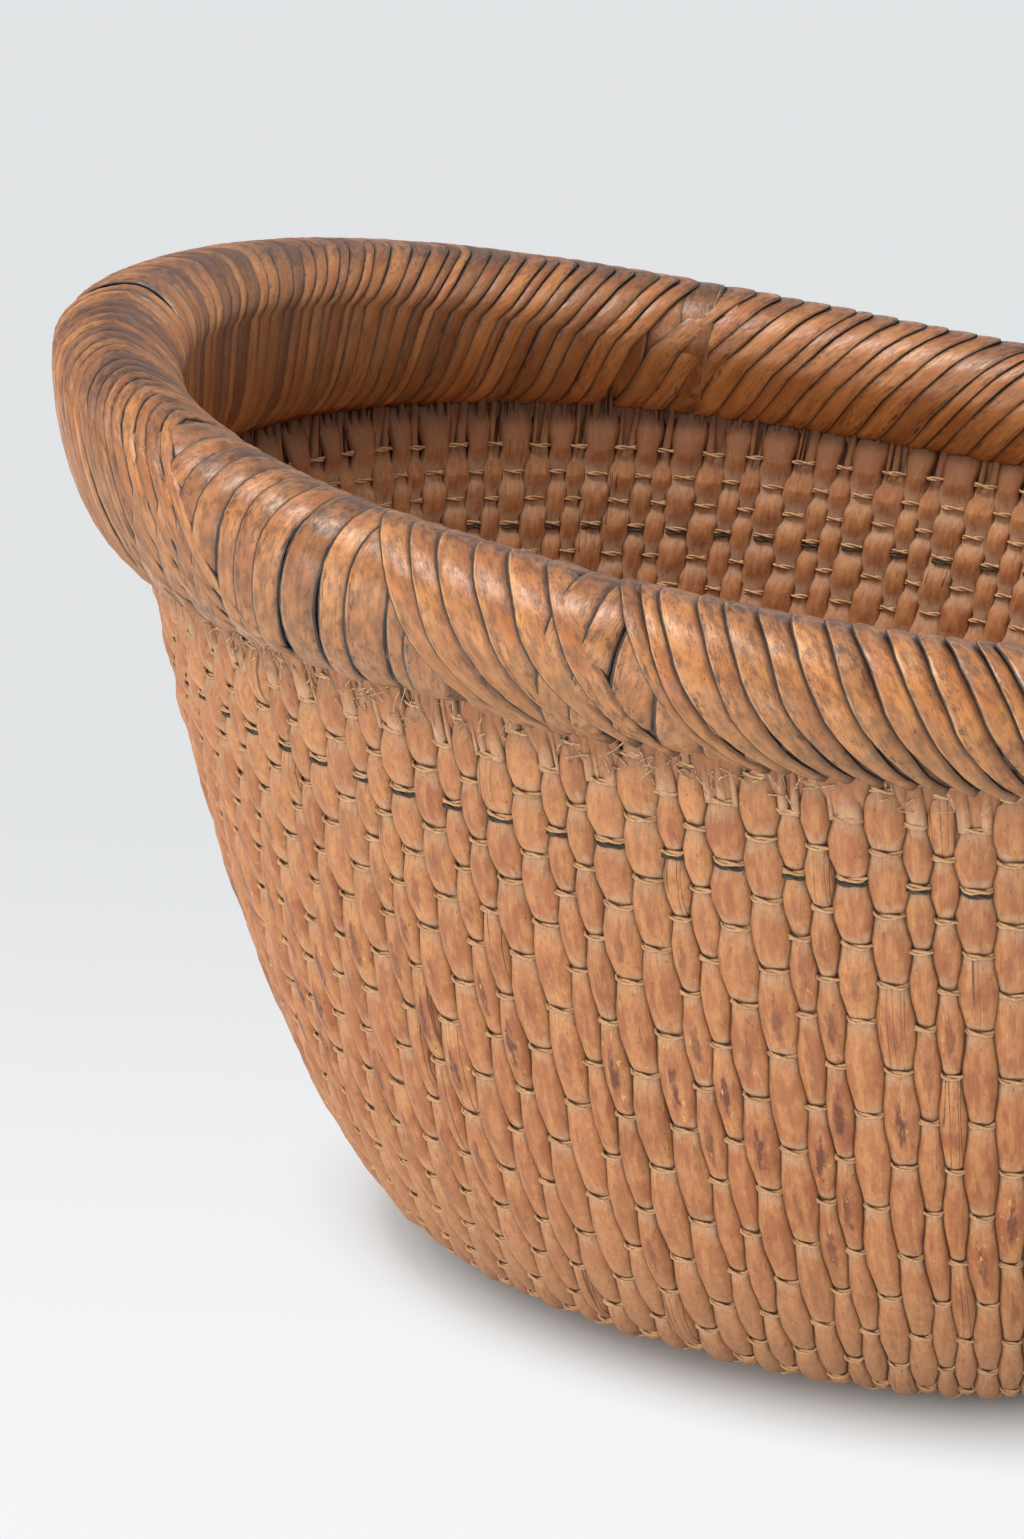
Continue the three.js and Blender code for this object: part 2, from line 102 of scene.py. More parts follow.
# %% The oval plan of the rim's path
RIM_HALF_LENGTH = 183.5
RIM_HALF_WIDTH = 147
OVAL_POWER = 2.18
PLAN_STEPS = 5761
TURN = 2 * math.pi


def power(value, exponent):
    return np.sign(value) * np.abs(value) ** exponent


def joined(*columns):
    """Arrays stretched to one shape and set side by side as the last axis of one array."""
    return np.stack(np.broadcast_arrays(*columns), axis=-1)


plan_turn = np.linspace(0, TURN, PLAN_STEPS)
PLAN_X = RIM_HALF_LENGTH * power(np.cos(plan_turn), 2 / OVAL_POWER)
PLAN_Y = RIM_HALF_WIDTH * power(np.sin(plan_turn), 2 / OVAL_POWER)
PLAN_ALONG = np.concatenate([[0], np.cumsum(np.hypot(np.diff(PLAN_X), np.diff(PLAN_Y)))])
RIM_LENGTH = PLAN_ALONG[-1]


def around(share):
    """Where a share of the rim's path lies: x, y, the way outward, and how near it is to an end, 0 to 1."""
    along = (np.asarray(share, float) % 1) * RIM_LENGTH
    x = np.interp(along, PLAN_ALONG, PLAN_X)
    y = np.interp(along, PLAN_ALONG, PLAN_Y)
    slope_x = power(x / RIM_HALF_LENGTH, OVAL_POWER - 1) / RIM_HALF_LENGTH
    slope_y = power(y / RIM_HALF_WIDTH, OVAL_POWER - 1) / RIM_HALF_WIDTH
    steepness = np.hypot(slope_x, slope_y)
    return x, y, slope_x / steepness, slope_y / steepness, (x / RIM_HALF_LENGTH) ** 2


def placed(spot, outward, height):
    x, y, out_x, out_y, _ = spot
    return joined(x + out_x * outward, y + out_y * outward, height)


print("the rim's path is", round(RIM_LENGTH), "mm long")

# %% The rim's section
RIM_HEIGHT = 195.5
RIM_END_LIFT = 17
RIM_TIP = 13
RIM_INWARD = 7.3
RIM_HALF_THICKNESS = 16
RIM_ABOVE, RIM_ABOVE_AT_ENDS = 15.7, 8.7
RIM_BELOW, RIM_BELOW_AT_ENDS, RIM_BELOW_TIP = 17.7, 28.7, 8.5
RIM_ROLL, RIM_LOWER_ROLL, RIM_LOWER_ROLL_AT_HIGH_END = (math.radians(angle) for angle in (18.4, 16, -6.7))


def rim_at(share, angle, lift):
    """A point of the wound rim: angle 0 looks outward, 90 degrees is the crest, lift is off its surface."""
    spot = around(share)
    tip, end = -spot[0] / RIM_HALF_LENGTH, spot[4]
    above = RIM_ABOVE + (RIM_ABOVE_AT_ENDS - RIM_ABOVE) * end
    below = RIM_BELOW + (RIM_BELOW_AT_ENDS - RIM_BELOW) * end + RIM_BELOW_TIP * tip
    lower = np.sin(angle) < 0
    high_end = end * (1 + tip) / 2
    lower_roll = RIM_LOWER_ROLL + (RIM_LOWER_ROLL_AT_HIGH_END - RIM_LOWER_ROLL) * high_end
    roll = np.where(lower, lower_roll, RIM_ROLL)
    across = (RIM_HALF_THICKNESS + lift) * np.cos(angle)
    up = (np.where(lower, below, above) + lift) * np.sin(angle)
    path_height = RIM_HEIGHT + RIM_END_LIFT * end + RIM_TIP * tip
    outward = across * math.cos(RIM_ROLL) - up * np.sin(roll) - RIM_INWARD
    return placed(spot, outward, path_height + across * math.sin(RIM_ROLL) + up * np.cos(roll))


print("the crest at the raised end is", round(float(rim_at(0.5, math.pi / 2, 0)[2])), "mm high")

# %% The wall's section
WALL_INSET_AT_TOP, WALL_INSET_AT_BASE = 13.2, 95.4
WALL_INSET_MORE_AT_ENDS = 4.1
WALL_TOP, WALL_TOP_MORE_AT_ENDS = 183, 5.2
BEND_AT_BASE, BEND_AT_TOP = 0.57, 0.1
WALL_DEPTH = WALL_INSET_AT_BASE - WALL_INSET_AT_TOP


def wall_profile(part):
    """The wall's bend from its bottom, part 0, to its top, part 1: inset, height and their slopes."""
    rest = 1 - part
    weights = (rest**3, 3 * rest * rest * part, 3 * rest * part * part, part**3)
    slopes = [3 * v for v in (-rest * rest, rest * (rest - 2 * part), part * (2 * rest - part), part * part)]
    insets = (WALL_DEPTH, WALL_DEPTH * (1 - BEND_AT_BASE), 0, 0)
    heights = (0, 0, 1 - BEND_AT_TOP, 1)
    return [sum(v * w for v, w in zip(a, b)) for b in (weights, slopes) for a in (insets, heights)]


PART_STEPS = np.linspace(1, 0, 2001)
steps_inset, steps_height = wall_profile(PART_STEPS)[:2]
PART_DISTANCE = np.hypot(np.diff(steps_inset), np.diff(steps_height) * WALL_TOP)
PART_DISTANCE = np.concatenate([[0], np.cumsum(PART_DISTANCE)])
WALL_LENGTH = PART_DISTANCE[-1]


def wall_at(share, down, lift):
    """A point of the wall, down its outside from its top edge, lifted outward. It goes on past both ends."""
    spot = around(share)
    end = spot[4]
    down = np.asarray(down, float)
    inset, height, inset_slope, height_slope = wall_profile(np.interp(down, PART_DISTANCE, PART_STEPS))
    widen = 1 + WALL_INSET_MORE_AT_ENDS / WALL_DEPTH * end
    top = WALL_TOP + WALL_TOP_MORE_AT_ENDS * end
    rise, run = height_slope * top, inset_slope * widen
    length = np.hypot(rise, run)
    past_base = np.maximum(down - WALL_LENGTH, 0)
    past_top = np.maximum(-down, 0)
    outward = -WALL_INSET_AT_TOP - inset * widen - past_base + lift * rise / length
    return placed(spot, outward, height * top + past_top + lift * run / length)


print("the wall is", round(WALL_LENGTH), "mm long from its top edge to the bottom")

# %% [markdown]
# ## Building many small tubes as one mesh
#
# Rods, cords and splints are all long things with a section that is carried along a path. Blender could do
# this with curves and a bevel, but here each section changes all the way along: a rod swells and is pinched.
# So each piece is a list of rings of points, and a helper joins ring to ring with four-cornered faces and
# closes both ends. It also writes three attributes on the points, which the materials read later: "fibre"
# runs along and across the grain in millimetres, and "wear" and "place" hold what each kind of piece needs,
# such as how far a point is from a tie or from the edges of its piece.


# %% Helper: rings of points into one mesh
class Tubes:
    def __init__(self):
        self.points, self.quads, self.caps, self.fibre, self.wear, self.place = [], [], [], [], [], []
        self.count = 0

    def add(self, rings, along, across, number, wear, place=(0.0, 10.0, 0.0), closed=False):
        """rings is steps x sides x 3 in millimetres, wear steps x sides x 4 and place steps x sides x 3.
        number moves the noise of the finish, so that no two tubes look alike."""
        steps, sides = rings.shape[:2]
        index = self.count + np.arange(steps * sides).reshape(steps, sides)
        after = np.roll(index, -1, axis=1)
        if closed:
            there, there_after = np.roll(index, -1, axis=0), np.roll(after, -1, axis=0)
            faces = np.stack([index, after, there_after, there], axis=-1)
        else:
            faces = np.stack([index[:-1], after[:-1], after[1:], index[1:]], axis=-1)
            self.caps += [index[0][::-1], index[-1]]
        self.quads.append(faces.reshape(-1, 4))
        self.points.append(rings.reshape(-1, 3))
        grain = joined(np.zeros((steps, sides)), along, across, float(number))[..., 1:]
        for kept, values in ((self.fibre, grain), (self.wear, wear), (self.place, place)):
            width = np.shape(values)[-1]
            kept.append(np.broadcast_to(values, (steps, sides, width)).reshape(-1, width))
        self.count += steps * sides

    def build(self, name, finish):
        points = np.concatenate(self.points) * MM
        quads = np.concatenate(self.quads)
        corners = np.concatenate([quads.ravel()] + self.caps)
        sizes = np.concatenate([np.full(len(quads), 4), [len(cap) for cap in self.caps]]).astype(np.int32)
        mesh = bpy.data.meshes.new(name)
        mesh.vertices.add(len(points))
        mesh.vertices.foreach_set("co", points.astype(np.float32).ravel())
        mesh.loops.add(len(corners))
        mesh.loops.foreach_set("vertex_index", corners.astype(np.int32))
        mesh.polygons.add(len(sizes))
        starts = np.concatenate([[0], np.cumsum(sizes)[:-1]])
        mesh.polygons.foreach_set("loop_start", starts.astype(np.int32))
        mesh.update(calc_edges=True)
        mesh.validate()
        for label, kind, field, values in (
            ("fibre", "FLOAT_VECTOR", "vector", self.fibre),
            ("place", "FLOAT_VECTOR", "vector", self.place),
            ("wear", "FLOAT_COLOR", "color", self.wear),
        ):
            attribute = mesh.attributes.new(label, kind, "POINT")
            attribute.data.foreach_set(field, np.concatenate(values).astype(np.float32).ravel())
        mesh.shade_smooth()
        mesh.materials.append(finish)
        return new_object(name, mesh)


def ring_angles(sides, start=0.0):
    return TURN * (np.arange(sides) + start) / sides


def unit(vectors):
    return vectors / np.linalg.norm(vectors, axis=-1, keepdims=True)


def rings_round(path, radius, angle, first, second):
    """A round ring at every point of a path, in the plane of two directions."""
    way = np.cos(angle)[None, :, None] * first[:, None] + np.sin(angle)[None, :, None] * second[:, None]
    return path[:, None] + radius * way


pieces_made = []


def dress(piece, slot, *nodes):
    """The piece rides on the basket's only body and stands for plain solids. slot is not used."""
    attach(piece, "root")
    if nodes:
        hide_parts(*nodes)
    pieces_made.append(piece)


# %% Helper: repeatable chance and smooth wobble
WOBBLE_WAVES = ((1.0, 0.55), (2.3, 0.3), (4.9, 0.15))


def chance(seed):
    return np.random.default_rng(seed)


def wobble(rng, along, length):
    """A smooth random line over the distances along, of about -1 to 1, which changes over a length."""
    total = np.zeros_like(np.asarray(along, float))
    for factor, size in WOBBLE_WAVES:
        total = total + size * np.sin(TURN * along * factor / length + rng.uniform(0, TURN))
    return total


def smooth_step(value, low, high):
    part = np.clip((value - low) / (high - low), 0, 1)
    return part * part * (3 - 2 * part)


# %% [markdown]
# ## Finishes
#
# Old peeled willow is dull and warm: grey tan where dust has settled in the dents, red brown on the crowns
# that hands have rubbed, with fine lengthwise grain, small dark specks and a few cracks. Split splints are
# the same wood with the shiny skin side out, so they are glossier, more golden, and stained darker along
# their edges. Painted shade darkens the gaps between rods and between splints, the seams beside each
# splint's edge and the rods just under the rim. Each finish is a small tree of nodes. The noise is stretched
# along the grain by the "fibre" attribute, so the grain follows every bend, and no picture is needed.


# %% Helper: short words for material nodes
def colour(red, green, blue):
    """A colour as a screen shows it, 0 to 255, turned into the linear numbers that Blender mixes."""
    shares = [v / 255 for v in (red, green, blue)]
    return [v / 12.92 if v <= 0.04045 else ((v + 0.055) / 1.055) ** 2.4 for v in shares] + [1.0]


class Finish:
    def __init__(self, name, roughness):
        self.material = bpy.data.materials.new(name)
        self.material.use_nodes = True
        self.tree = self.material.node_tree
        self.shader = self.tree.nodes["Principled BSDF"]
        self.shader.inputs["Roughness"].default_value = roughness
        self.fibre = self.attribute("fibre")["Vector"]
        wear = self.attribute("wear")
        self.parts = self.node("ShaderNodeSeparateColor", {"Color": wear["Color"]}).outputs
        self.to_side = wear["Alpha"]

    def node(self, kind, inputs=None, **settings):
        made = self.tree.nodes.new(kind)
        for key, value in settings.items():
            setattr(made, key, value)
        for key, value in (inputs or {}).items():
            if isinstance(value, bpy.types.NodeSocket):
                self.tree.links.new(value, made.inputs[key])
            else:
                made.inputs[key].default_value = value
        return made

    def attribute(self, name):
        return self.node("ShaderNodeAttribute", attribute_name=name).outputs

    def split(self, vector):
        return self.node("ShaderNodeSeparateXYZ", {0: vector}).outputs

    def math(self, operation, first, second=0.0, third=0.0):
        made = self.node("ShaderNodeMath", {0: first, 1: second, 2: third}, operation=operation)
        return made.outputs[0]

    def times(self, value, *factors):
        for factor in factors:
            value = self.math("MULTIPLY", value, factor)
        return value

    def times_plus(self, value, factor, more):
        return self.math("MULTIPLY_ADD", value, factor, more)

    def flipped(self, value):
        """1 where the value is 0, and 0 where it is 1."""
        return self.math("SUBTRACT", 1.0, value)

    def vector(self, operation, *inputs):
        return self.node("ShaderNodeVectorMath", dict(enumerate(inputs)), operation=operation).outputs

    def noise(self, stretch, detail=3.0, roughness=0.55):
        """Noise per millimetre along, across, and from piece to piece."""
        where = self.vector("MULTIPLY", self.fibre, stretch)[0]
        settings = {"Vector": where, "Scale": 1.0, "Detail": detail, "Roughness": roughness}
        return self.node("ShaderNodeTexNoise", settings).outputs["Fac"]

    def step(self, value, low, high):
        """0 where the value is under low, 1 where it is over high, smooth between."""
        inputs = {"Value": value, "From Min": low, "From Max": high}
        made = self.node("ShaderNodeMapRange", inputs, interpolation_type="SMOOTHSTEP")
        return made.outputs["Result"]

    def spread(self, value, low, high, to_low, to_high):
        inputs = {"Value": value, "From Min": low, "From Max": high, "To Min": to_low, "To Max": to_high}
        return self.node("ShaderNodeMapRange", inputs).outputs["Result"]

    def mix(self, share, first, second, blend="MIX"):
        inputs = {0: share, 6: first, 7: second}
        return self.node("ShaderNodeMix", inputs, data_type="RGBA", blend_type=blend).outputs[2]

    def shaded(self, base, amount):
        """The same colour, darker or lighter by an amount."""
        grey = self.node("ShaderNodeCombineColor", dict.fromkeys(range(3), amount)).outputs[0]
        return self.mix(1.0, base, grey, "MULTIPLY")

    def covered(self, base, *layers):
        """The base under layers of colour. Each lies where its mask is 1, and as strongly as it says."""
        for mask, strength, over in layers:
            base = self.mix(self.times(mask, strength), base, over)
        return base

    def crevice_shade(self, reach, low, high):
        """A mask for painted shade: 1 in gaps narrower than the reach in millimetres, and 0 in the open."""
        made = self.node("ShaderNodeAmbientOcclusion", {"Distance": reach * MM}, samples=5)
        return self.flipped(self.step(made.outputs["AO"], low, high))

    def finish(self, base, roughness=None, bumps=()):
        """bumps is a list of heights and depths in millimetres."""
        self.tree.links.new(base, self.shader.inputs["Base Color"])
        if roughness is not None:
            self.tree.links.new(roughness, self.shader.inputs["Roughness"])
        normal = {}
        for height, depth in bumps:
            inputs = {"Height": height, "Distance": depth * MM, "Strength": 1.0, **normal}
            normal = {"Normal": self.node("ShaderNodeBump", inputs).outputs["Normal"]}
        if normal:
            self.tree.links.new(normal["Normal"], self.shader.inputs["Normal"])
        return self.material


# %% Finish: peeled willow rods
PALER_FROM, PALER_TO = 110, 200
# Painted shade under the rim: millimetres below the wall's top over which the rods are darkened
SHADE_NEAR_RIM, SHADE_BELOW_RIM = (0.0, 6.0), (8.0, 17.0)
WIDE_GAP, NARROW_GAP = 12.0, 2.2


def make_willow(name, dust, crown, gold, dark, in_wall):
    """wear holds: millimetres to the nearest tie / 12, chance by segment, chance by rod, and 0 at the middle
    of the rod to 1 at its sides. place holds: millimetres along from the segment's middle, its half length,
    and how strongly it is stained there. in_wall is 1 for rods that go up to the rim and 0 for others."""
    f = Finish(name, 0.72)
    tie, by_segment, by_rod = f.parts
    from_middle, half_length, stained = f.split(f.attribute("place")["Vector"])
    from_top, across, _ = f.split(f.fibre)
    broad = f.noise((0.12, 0.5, 7.3))
    grain = f.noise((0.10, 4.2, 11.7), 4.0, 0.62)
    fine = f.noise((0.9, 7.0, 5.1), roughness=0.6)
    mottle = f.noise((0.42, 0.8, 14.7), 4.0, 0.62)

    edge = f.times_plus(broad, 0.45, f.times_plus(f.to_side, -0.22, tie))
    edge = f.times_plus(mottle, 0.45, edge)
    rubbed = f.step(edge, 0.34, 0.72)
    body = f.mix(f.spread(by_segment, 0, 1, 0.0, 0.72), crown, gold)
    body = f.mix(f.spread(by_rod, 0, 1, 0.0, 0.52), body, dark)
    heart = f.times(f.step(edge, 0.66, 1.05), f.step(by_segment, 0.25, 0.75))
    body = f.covered(body, (heart, 0.7, colour(144, 76, 40)))
    paler = f.times(f.step(from_top, PALER_FROM, PALER_TO), in_wall)
    body = f.mix(f.math("MAXIMUM", f.step(broad, 0.40, 0.62), paler), body, f.mix(0.5, body, gold))
    body = f.covered(body, (paler, 0.5, dust))
    body = f.mix(f.step(mottle, 0.42, 0.64), body, f.mix(0.3, body, crown))
    shade = f.times(f.spread(grain, 0.35, 0.65, 0.91, 1.08), f.spread(mottle, 0.38, 0.62, 1.03, 0.93))
    base = f.shaded(f.mix(rubbed, dust, body), shade)

    scar = f.step(f.noise((0.16, 0.55, 3.9), roughness=0.6), 0.60, 0.72)
    lengthwise = f.math("DIVIDE", from_middle, half_length)
    sideways = f.times(across, 0.42)
    oval = f.times_plus(lengthwise, lengthwise, f.times(sideways, sideways))
    oval = f.times_plus(f.noise((0.35, 1.1, 2.2)), 1.0, oval)
    blot = f.times(f.flipped(f.step(oval, 0.50, 0.80)), stained)
    flake = f.times(f.step(f.noise((0.30, 0.8, 6.6), roughness=0.7), 0.63, 0.69), stained)
    speck = f.step(f.noise((0.9, 2.2, 9.7), 1.0), 0.68, 0.74)
    line = f.math("ABSOLUTE", f.math("SUBTRACT", f.noise((0.012, 0.5, 13.3), 1.0), 0.5))
    crack = f.times(f.flipped(f.step(line, 0.003, 0.012)), f.step(by_segment, 0.90, 0.94))
    # Painted shade: the rods darken strongly just under the rim, and less so further below it
    shade_near_rim, shade_below_rim = (
        f.times(f.flipped(f.step(from_top, *reach)), in_wall) for reach in (SHADE_NEAR_RIM, SHADE_BELOW_RIM))
    base = f.covered(
        base,
        (scar, 0.5, dark),
        (blot, 0.9, colour(88, 42, 26)),
        (flake, 0.85, colour(222, 160, 84)),
        (speck, 0.6, colour(84, 50, 32)),
        (crack, 0.7, colour(70, 42, 28)),
        (shade_near_rim, 0.72, colour(56, 40, 29)),
        (shade_below_rim, f.spread(broad, 0.3, 0.65, 0.20, 0.62), colour(118, 76, 48)),
        # Painted shade in the gaps between rods, ties and cords: a little in wide gaps, much darker in
        # narrow ones
        (f.crevice_shade(WIDE_GAP, 0.10, 0.62), 0.45, colour(104, 76, 56)),
        (f.crevice_shade(NARROW_GAP, 0.30, 0.80), 0.55, colour(96, 70, 52)),
        (f.crevice_shade(NARROW_GAP, 0.10, 0.40), 0.82, colour(54, 37, 26)),
    )
    rough = f.spread(rubbed, 0, 1, 0.88, 0.55)
    return f.finish(base, rough, [(grain, 0.12), (broad, 0.12), (fine, 0.06), (mottle, 0.10), (crack, -0.2)])


WILLOW_DUST, BASE_DUST = colour(184, 144, 112), colour(160, 126, 96)
WILLOW_CROWN, BASE_CROWN = colour(164, 99, 60), colour(158, 108, 72)
WILLOW_GOLD = colour(200, 143, 90)
WILLOW_DARK = colour(130, 76, 43)
WILLOW = make_willow("willow_rods", WILLOW_DUST, WILLOW_CROWN, WILLOW_GOLD, WILLOW_DARK, 1.0)
BASE_WILLOW = make_willow("willow_base", BASE_DUST, BASE_CROWN, WILLOW_GOLD, WILLOW_DARK, 0.0)
print("willow finish nodes:", len(WILLOW.node_tree.nodes))

# %% Finish: split splints
# Reaches in millimetres of the painted shade in gaps, and where the painted shade line along each seam
# begins and is full
SPLINT_GAP, SEAM_GAP = 1.4, 0.9
SEAM_FROM, SEAM_TO = 0.865, 0.91


def make_splint(name, light, amber, brown, stain_and_shade, shade_and_dirt_from):
    """wear holds: -1 inside, 0 at the crest and 1 at the outer end, how brown the splint is, a chance by
    splint, and 0 to 1 to its edges. place holds: -1 to 1 from its lifted edge to its covered one, where the
    next one covers it, and 1 on its back."""
    f = Finish(name, 0.42)
    lower, brownness, by_splint = f.parts
    side, covered, back = f.split(f.attribute("place")["Vector"])
    from_centre = f.math("ABSOLUTE", side)
    streak = f.noise((0.025, 0.75, 5.9), roughness=0.6)
    grain = f.noise((0.07, 5.0, 3.3), 4.0, 0.65)
    cloud = f.noise((0.06, 0.13, 1.7))
    mottle = f.noise((0.30, 0.55, 12.1), 4.0, 0.62)

    base = f.mix(f.step(cloud, 0.36, 0.66), light, amber)
    base = f.mix(f.spread(streak, 0.35, 0.72, 0.0, 0.55), base, amber)
    outside = f.step(lower, 0.2, 0.6)
    crest = f.times(f.step(lower, -0.30, -0.02), f.flipped(f.step(lower, 0.0, 0.16)))
    browner = f.times_plus(crest, 0.4, f.times(brownness, f.spread(outside, 0, 1, 0.78, 0.32)))
    blotchy = f.times(f.step(mottle, 0.42, 0.66), f.spread(lower, -0.35, 0.0, 0.05, 0.42))
    base = f.mix(f.math("ADD", blotchy, browner), base, brown)
    dusty = f.step(f.times_plus(mottle, 0.5, lower), 0.66, 1.12)
    dusty = f.times(dusty, f.spread(by_splint, 0, 1, 0.35, 0.80))
    base = f.mix(dusty, base, colour(148, 106, 70))
    shade = f.times(f.spread(grain, 0.28, 0.72, 0.78, 1.18), f.spread(mottle, 0.3, 0.7, 1.12, 0.86))
    base = f.shaded(base, shade)

    spots = f.step(f.noise((0.40, 0.95, 2.9), 4.0, 0.72), 0.50, 0.62)
    patch = f.step(f.noise((0.045, 0.11, 6.1), 2.0), 0.42, 0.58)
    patch = f.times(patch, f.spread(f.step(from_centre, 0.30, 0.9), 0, 1, 0.45, 1.0))
    speck = f.step(f.noise((0.7, 1.5, 9.9), 1.0), 0.72, 0.76)
    green = f.step(f.noise((0.20, 0.45, 8.3), 4.0, 0.7), 0.62, 0.70)
    green = f.times(green, f.step(f.noise((0.02, 0.03, 4.9), 1.0), 0.56, 0.62))
    ragged = f.times_plus(f.noise((0.22, 0.6, 4.1)), 0.30, -0.15)
    near_edge = f.math("ADD", side, ragged)
    pale_edge = f.flipped(f.step(near_edge, -0.90, -0.78))
    # Painted shade with grime: browner where the next splint's edge lies over this one
    grime_and_shade = f.step(f.math("SUBTRACT", near_edge, covered), -0.42, -0.04)
    # Painted shade in the narrow gaps between splints, which are also rougher there
    shade_in_gaps = f.crevice_shade(SPLINT_GAP, 0.56, 0.92)

    # Painted shade, near black: the narrowest gaps, a line along each seam beside the next splint's edge,
    # and
    # each splint's back. Dark torn specks on the crest are laid on with it.
    gap = f.crevice_shade(SEAM_GAP, 0.42, 0.64)
    nearer = f.spread(covered, 0.72, 1.0, 0.0, 0.07)
    from_seam = f.math("ADD", f.times_plus(ragged, 0.3, from_centre), nearer)
    line = f.times(f.step(from_seam, SEAM_FROM, SEAM_TO), f.spread(lower, -0.5, 0.0, 0.34, 0.95))
    torn = f.step(f.noise((0.16, 1.3, 7.7), 4.0, 0.7), 0.53, 0.60)
    torn = f.times(torn, crest, f.step(from_centre, 0.35, 0.75))
    for shade_and_tears in (line, f.times(torn, 0.9), f.step(back, 0.05, 0.35)):
        gap = f.math("MAXIMUM", gap, shade_and_tears)
    base = f.covered(
        base,
        (f.times(spots, patch), 0.92, stain_and_shade),
        (speck, 0.6, stain_and_shade),
        (green, 0.6, colour(86, 96, 84)),
        (pale_edge, 0.45, colour(206, 160, 112)),
        (grime_and_shade, 0.55, brown),
        (shade_in_gaps, 0.62, stain_and_shade),
        # The near black painted shade of gaps, seams and backs, with the torn specks
        (gap, 1.0, colour(30, 20, 14)),
        # Painted shade with dirt: the under-layer darkens at its outer end, between the leaning splints'
        # tips
        (f.step(lower, shade_and_dirt_from, shade_and_dirt_from + 0.08), 0.8, stain_and_shade),
    )
    rough = f.times_plus(dusty, 0.42, f.spread(streak, 0.3, 0.7, 0.25, 0.38))
    rough = f.math("ADD", f.times_plus(shade_in_gaps, 0.4, f.spread(mottle, 0.35, 0.7, 0.0, 0.14)), rough)
    f.shader.inputs["Coat Weight"].default_value = 0.12
    f.shader.inputs["Coat Roughness"].default_value = 0.22
    return f.finish(base, rough, [(grain, 0.07), (cloud, 0.7), (mottle, 0.10), (spots, -0.05)])


SPLINT = make_splint(
    "splints", colour(184, 125, 70), colour(158, 94, 44), colour(88, 49, 25), colour(44, 29, 21), 1.5)
UNDER_SPLINT = make_splint(
    "under_splints", colour(182, 126, 74), colour(155, 93, 46), colour(88, 51, 28), colour(40, 27, 20), 0.86)
print("splint finish nodes:", len(SPLINT.node_tree.nodes))


# %% Finishes: cord, dark cord, bundle, lint
def make_fibre(name, light, deep, roughness):
    f = Finish(name, roughness)
    strand = f.noise((1.6, 3.2, 2.3), roughness=0.6)
    patch = f.noise((0.05, 0.3, 1.9), 2.0)
    base = f.mix(f.step(strand, 0.3, 0.7), deep, light)
    base = f.covered(base, (f.step(patch, 0.45, 0.65), 0.45, deep))
    return f.finish(base, None, [(strand, 0.12)])


HEMP = make_fibre("hemp_cord", colour(222, 180, 134), colour(164, 122, 84), 0.92)
DARK_HEMP = make_fibre("dark_cord", colour(98, 88, 72), colour(46, 40, 32), 0.92)
BUNDLE = make_fibre("rim_bundle", colour(120, 80, 50), colour(60, 38, 24), 0.85)
LINT = make_fibre("lint", colour(222, 192, 158), colour(150, 106, 70), 0.95)

# %% [markdown]
# ## Where each rod goes
#
# The rods are not all alike. Butts and tips of willow are laid in turn, so two thick rods are followed by
# two thin ones. They lean a little, and on the long sides they stay nearly parallel on their way down. At
# the ends the oval tightens and there is no room for all of them, so the maker lets pairs of rods stop short
# and the others close up. This is worked out first for every rod at many levels, because the cords need it.

# %% Work out the edges of every rod at every level
RODS = 156
ROD_START = 0.0027
ROD_LEAN, ROD_SPREAD = 0.09, 0.16
LEVELS = np.linspace(0, WALL_LENGTH, 100)
ROD_NUMBERS = np.arange(RODS)
THICK_ROD = (ROD_NUMBERS + 1) % 4 < 2
QUARTERS = np.array([0, 40, 76, 116, RODS])
THICK_WEIGHT, THICK_WEIGHT_LOST_BELOW = 1.2, 0.13
# Of every eight rods, the share of its full room at which each one stops short. The first two never do
STOP_ROOM = np.array([0.0, 0.0, 0.60, 0.64, 0.33, 0.36, 0.46, 0.50])
STOP_ROOM_VARIES, STOP_SOFTNESS = 0.035, 0.05
GONE_WEIGHT = 0.02
EVEN_OUT_RODS = 3.0


def rod_share(share, down):
    """Where a rod that starts at a share of the rim has got to at a distance down the wall."""
    inset, height = wall_profile(np.interp(down, PART_DISTANCE, PART_STEPS))[:2]
    from_side = ((share * 2) % 1) / 2 - 0.25
    reach = from_side / 0.25
    spread = from_side * ROD_SPREAD * inset / WALL_DEPTH * (1 - reach * reach)
    return share + spread + ROD_LEAN * (1 - height) * WALL_TOP / RIM_LENGTH


